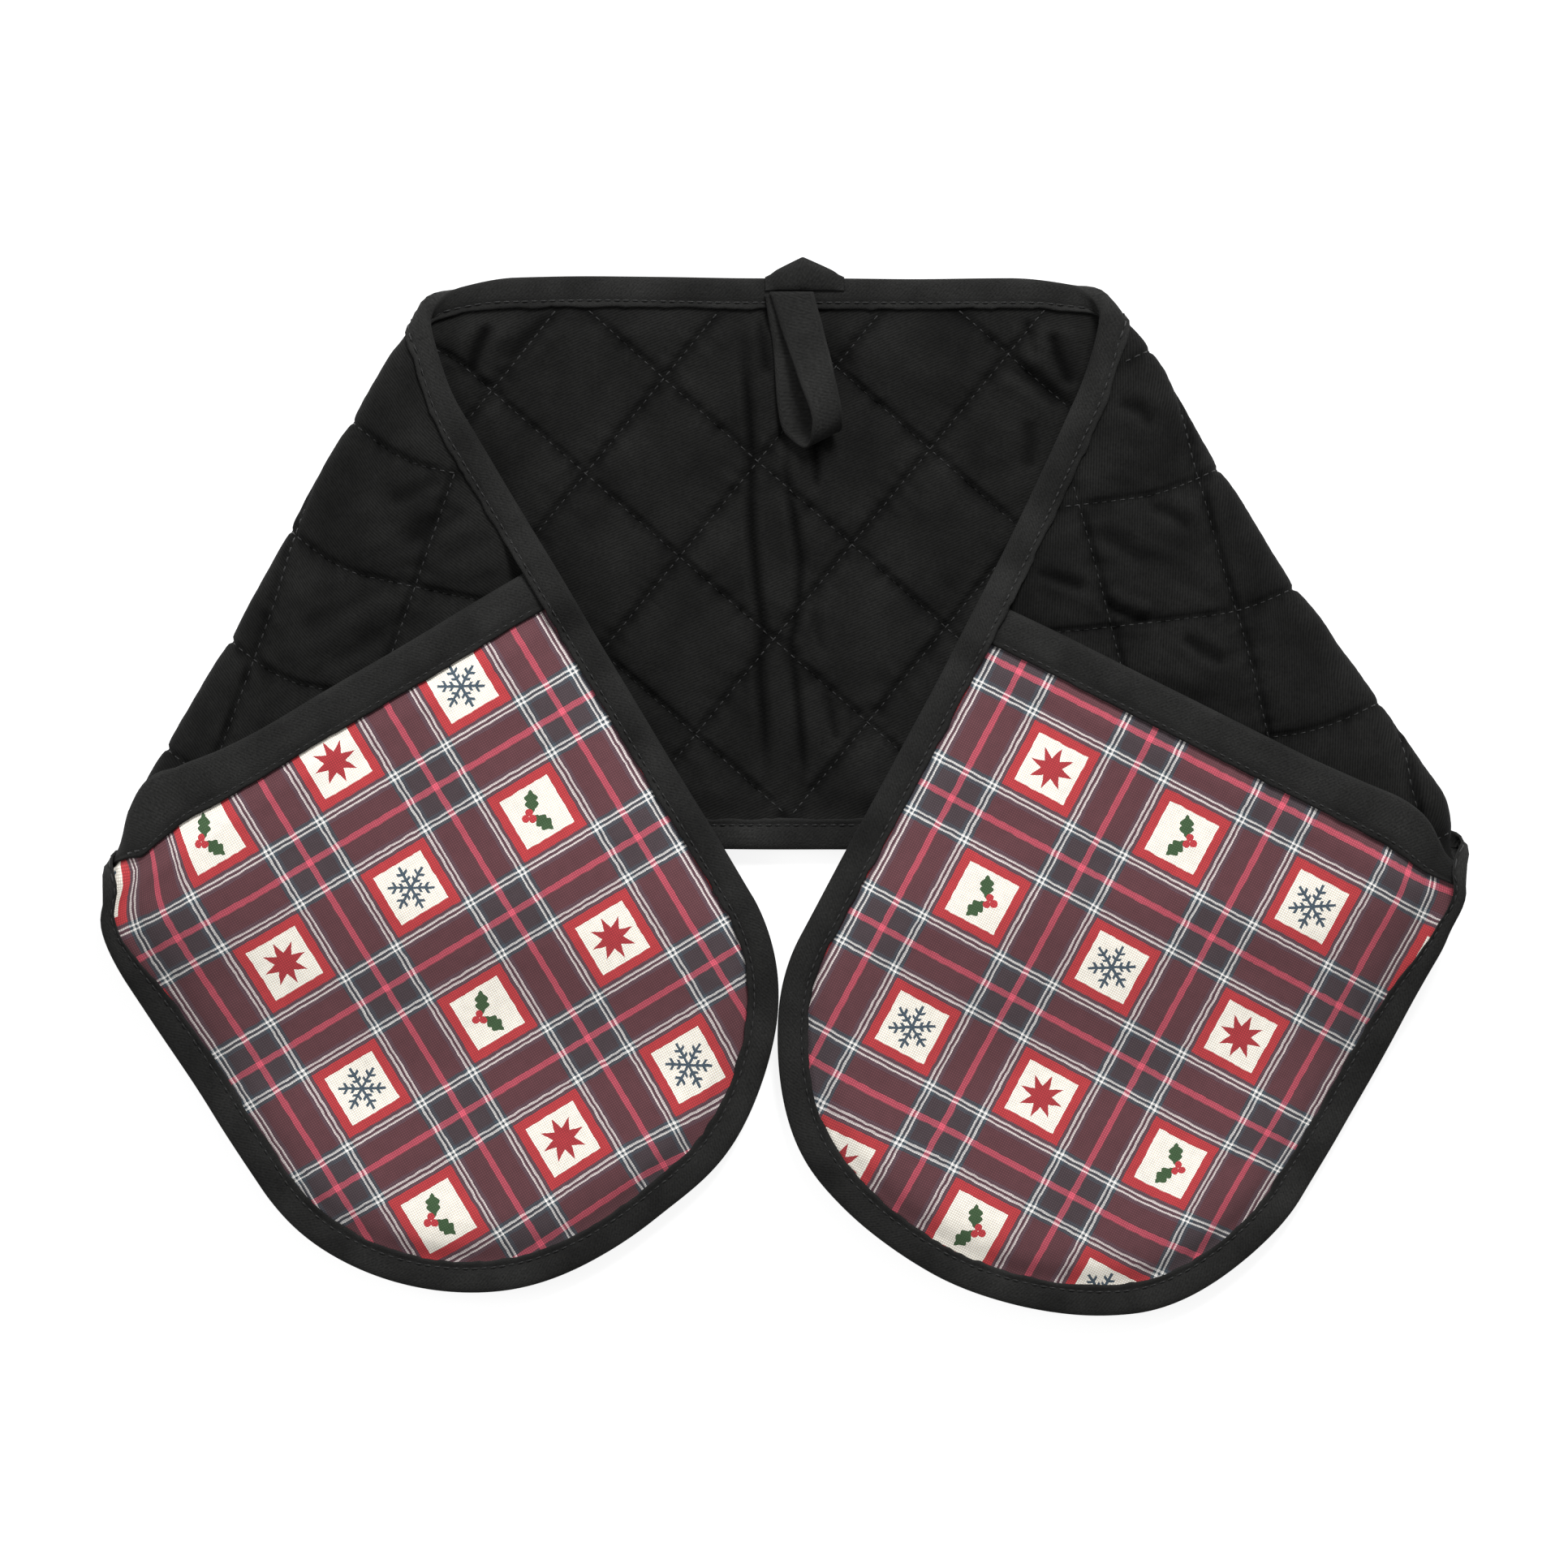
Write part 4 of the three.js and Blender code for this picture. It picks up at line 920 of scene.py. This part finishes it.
def hangingLoop():
    shape = loopShape
    lean = math.radians(shape["lean"])
    way = smoothWay([tuple(row.values()) for row in loopWay], shape["stations"])
    steps = np.gradient(way[:, :2], axis=0)
    steps /= np.hypot(steps[:, :1], steps[:, 1:2])
    half = shape["width"] / 2

    def mirrored(points):
        return [(-x, y) for x, y in reversed(points)]

    # its section: two layers, with the fold's and the selvedges' rounded rims
    upper = [(-half, 0), (-half + 0.25, 0.42), (-half + 1.1, 0.56), (-half + 1.5, 0.5), (-2, 0.52)]
    lower = [(half - 0.25, -0.42), (half - 1.3, -0.54)]
    profile = upper + mirrored(upper) + lower + [(0, -0.5)] + mirrored(lower)
    length = lengthAlong(way[:, 0], way[:, 1])
    rows = []
    for (down, over, shift, width, skew, tilt), step, here in zip(way, steps, length):
        curl = shape["curl"] * noise.noise((here / shape["curlLength"], 0.5, 2.1))
        row = []
        for sideways, out in profile:
            share = sideways / half
            crumple = shape["crumple"] * noise.noise((here / shape["crumpleLength"], sideways, 4.4))
            x = share * width / 2 + shift + crumple
            lift = out * shape["thick"] + curl * share ** 2
            y = down - share * skew / 2 - step[1] * lift
            turned = lean * min(1, max(0, y / shape["tucked"]))
            row.append((shape["s"] + x * math.cos(turned) + y * math.sin(lean),
                        shape["t"] + x * math.sin(turned) - y * math.cos(lean),
                        over + share * tilt / 2 + step[0] * lift))
        rows.append(row)
    sections = lay(*np.moveaxis(np.array(rows), -1, 0))
    piece = tapePiece("hangingLoop", sections, length, shape["flatWidth"])
    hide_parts("hanging_loop")
    return piece


loop = hangingLoop()
print("loop and tape end made")

# Stitches: short lengths of thread that dip into the cloth at both ends
stitch = {"half": 1.15, "radius": 0.23, "pitch": binding["pitch"], "sides": 5, "sunk": 0.18,
          "quiltInset": 10.6}
# each ring of a stitch: place along it, height over the cloth, share of the thread's radius
stitchRings = ((-1, -0.35, 0.4), (-0.5, 0.1, 1), (0.5, 0.1, 1), (1, -0.35, 0.4))


def stitchRow(name, s, t, ds, dt, height):
    # centres and directions on the strip; height gives the signed height of the cloth there
    rings = []
    for along, lift, radius in stitchRings:
        ringS, ringT = s + ds * along * stitch["half"], t + dt * along * stitch["half"]
        h, offset = height(ringS, ringT), stitch["radius"] * radius
        ring = []
        for k in range(stitch["sides"]):
            cos, sin = cosSin(360 * k / stitch["sides"])
            away = np.sign(h) * (np.abs(h) + lift + offset * sin)
            ring.append(lay(ringS - dt * offset * cos, ringT + ds * offset * cos, away))
        rings.append(np.stack(ring, 1))
    places = np.stack(rings, 1)
    sides, last = stitch["sides"], len(stitchRings) - 1
    faces = []
    for index in range(len(s)):
        start = index * len(stitchRings) * sides
        for ring in range(last):
            for k in range(sides):
                a, b = start + ring * sides + k, start + ring * sides + (k + 1) % sides
                faces.append((a, b, b + sides, a + sides))
        for cap in (start, start + last * sides):
            faces.append(tuple(cap + k for k in range(sides)))
    corners = sum(len(face) for face in faces)
    piece = polygonPiece(name, places, faces, np.zeros((corners, 2)), thread)


def quiltStitches(name, quilt, shown, keep, height):
    rows, lines, reach = [], body["lines"], body["reach"]
    for angle, spacing in quilt["lines"]:
        cos, sin = cosSin(angle)
        line, place = np.meshgrid(range(-lines, lines + 1), np.arange(-reach, reach, stitch["pitch"]))
        s = quilt["s"] - sin * spacing * line + cos * place
        t = quilt["t"] + cos * spacing * line + sin * place
        on = onStrip(s, t)
        s, t = s[on], t[on]
        on = (insetOf(s, t) > stitch["quiltInset"]) & keep(s) & shown(s, t)
        rows.append((s[on], t[on], np.full(on.sum(), cos), np.full(on.sum(), sin)))
    stitchRow(name, *(np.concatenate(column) for column in zip(*rows)), height)


def tapeStitches(name, facing):
    step = 0.5
    ring = closedRing(*ringAt(binding["stitch"] * shownShare(facing, *outlineAt(0, step)), step))
    length = lengthAlong(*ring)
    at = np.arange(0, length[-1], stitch["pitch"])
    here = [np.interp(at, length, way) for way in ring]
    ahead = [np.interp((at + step) % length[-1], length, way) for way in ring]
    ds, dt = ahead[0] - here[0], ahead[1] - here[1]
    size = np.hypot(ds, dt)
    top = binding["cloth"] + binding["thick"] - stitch["sunk"]

    def height(s, t):
        return np.full(np.shape(s), top) if facing > 0 else -(top + layersAt(s, t))

    stitchRow(name, *here, ds / size, dt / size, height)


def mouthStitches(name, side):
    t = np.arange(mouthLook["stitchFrom"], mouthLook["stitchTo"], stitch["pitch"])
    s = pastMouth(side, mouthLook["stitchInset"], t)
    ds = np.gradient(s, t)
    size = np.hypot(ds, 1)

    def height(s, t):
        return -(pocketHeights(s, t)[1] + mouthLook["stitchLift"])

    stitchRow(name, s, t, ds / size, 1 / size, height)


quiltStitches("quiltStitchesInner", quilts["inner"], innerShown, lambda s: True, innerHeight)
quiltStitches("quiltStitchesLeft", quilts["left"], outerShown, lambda s: s < 0, outerHeight)
quiltStitches("quiltStitchesRight", quilts["right"], outerShown, lambda s: s > body["meet"], outerHeight)
tapeStitches("tapeStitchesInner", 1)
tapeStitches("tapeStitchesOuter", -1)
mouthStitches("mouthStitches_left", -1)
mouthStitches("mouthStitches_right", 1)
print("stitches made")

# A pale floor, soft light from above right, and the camera straight above, as in the photograph
studio = {
    "floor": "#a0a0a0", "glow": "#f4f4f4", "floorGlow": 0.95, "floorSize": 8, "floorHeight": -0.0003,
    "background": "#ffffff", "ambient": 0.3, "lens": 200, "sensor": 36,
    "cameraPlace": (0.0005, 0.0005, 2.7495),
}
studioLights = table(
    "name place size power",
    ("keyLight", (0.7, 2.4, 1.95), 1.0, 108),
    ("fillLight", (-2.2, 0.4, 1.6), 1.4, 20),
)


def studioFloor():
    bpy.ops.mesh.primitive_plane_add(size=studio["floorSize"], location=(0, 0, 0))
    floor = bpy.context.object
    floor.name = "studioFloor"
    floor.location.z = studio["floorHeight"]
    material, surface = startMaterial("matteWhitePaper", 0.9, 0)[:2]
    setInputs(surface, {"Base Color": studio["floor"], "Emission Color": studio["glow"],
                        "Emission Strength": studio["floorGlow"]})
    floor.data.materials.append(material)


def softLight(name, place, size, power):
    light = bpy.data.lights.new(name, "AREA")
    light.size, light.energy = size, power
    lamp = bpy.data.objects.new(name, light)
    lamp.location = place
    lamp.rotation_euler = (-lamp.location).to_track_quat("-Z", "Y").to_euler()
    bpy.context.collection.objects.link(lamp)


studioFloor()
for light in studioLights:
    softLight(**light)
world = bpy.data.worlds.new("studioWorld")
bpy.context.scene.world = world
world.use_nodes = True
setInputs(world.node_tree.nodes["Background"], (studio["background"], studio["ambient"]))
bpy.context.scene.view_settings.view_transform = "Standard"

lens = bpy.data.cameras.new("camera")
lens.lens, lens.sensor_width = studio["lens"], studio["sensor"]
lens.clip_start, lens.clip_end = 0.1, 20
camera = bpy.data.objects.new("camera", lens)
camera.location = studio["cameraPlace"]
bpy.context.collection.objects.link(camera)
bpy.context.scene.camera = camera
print("studio made")
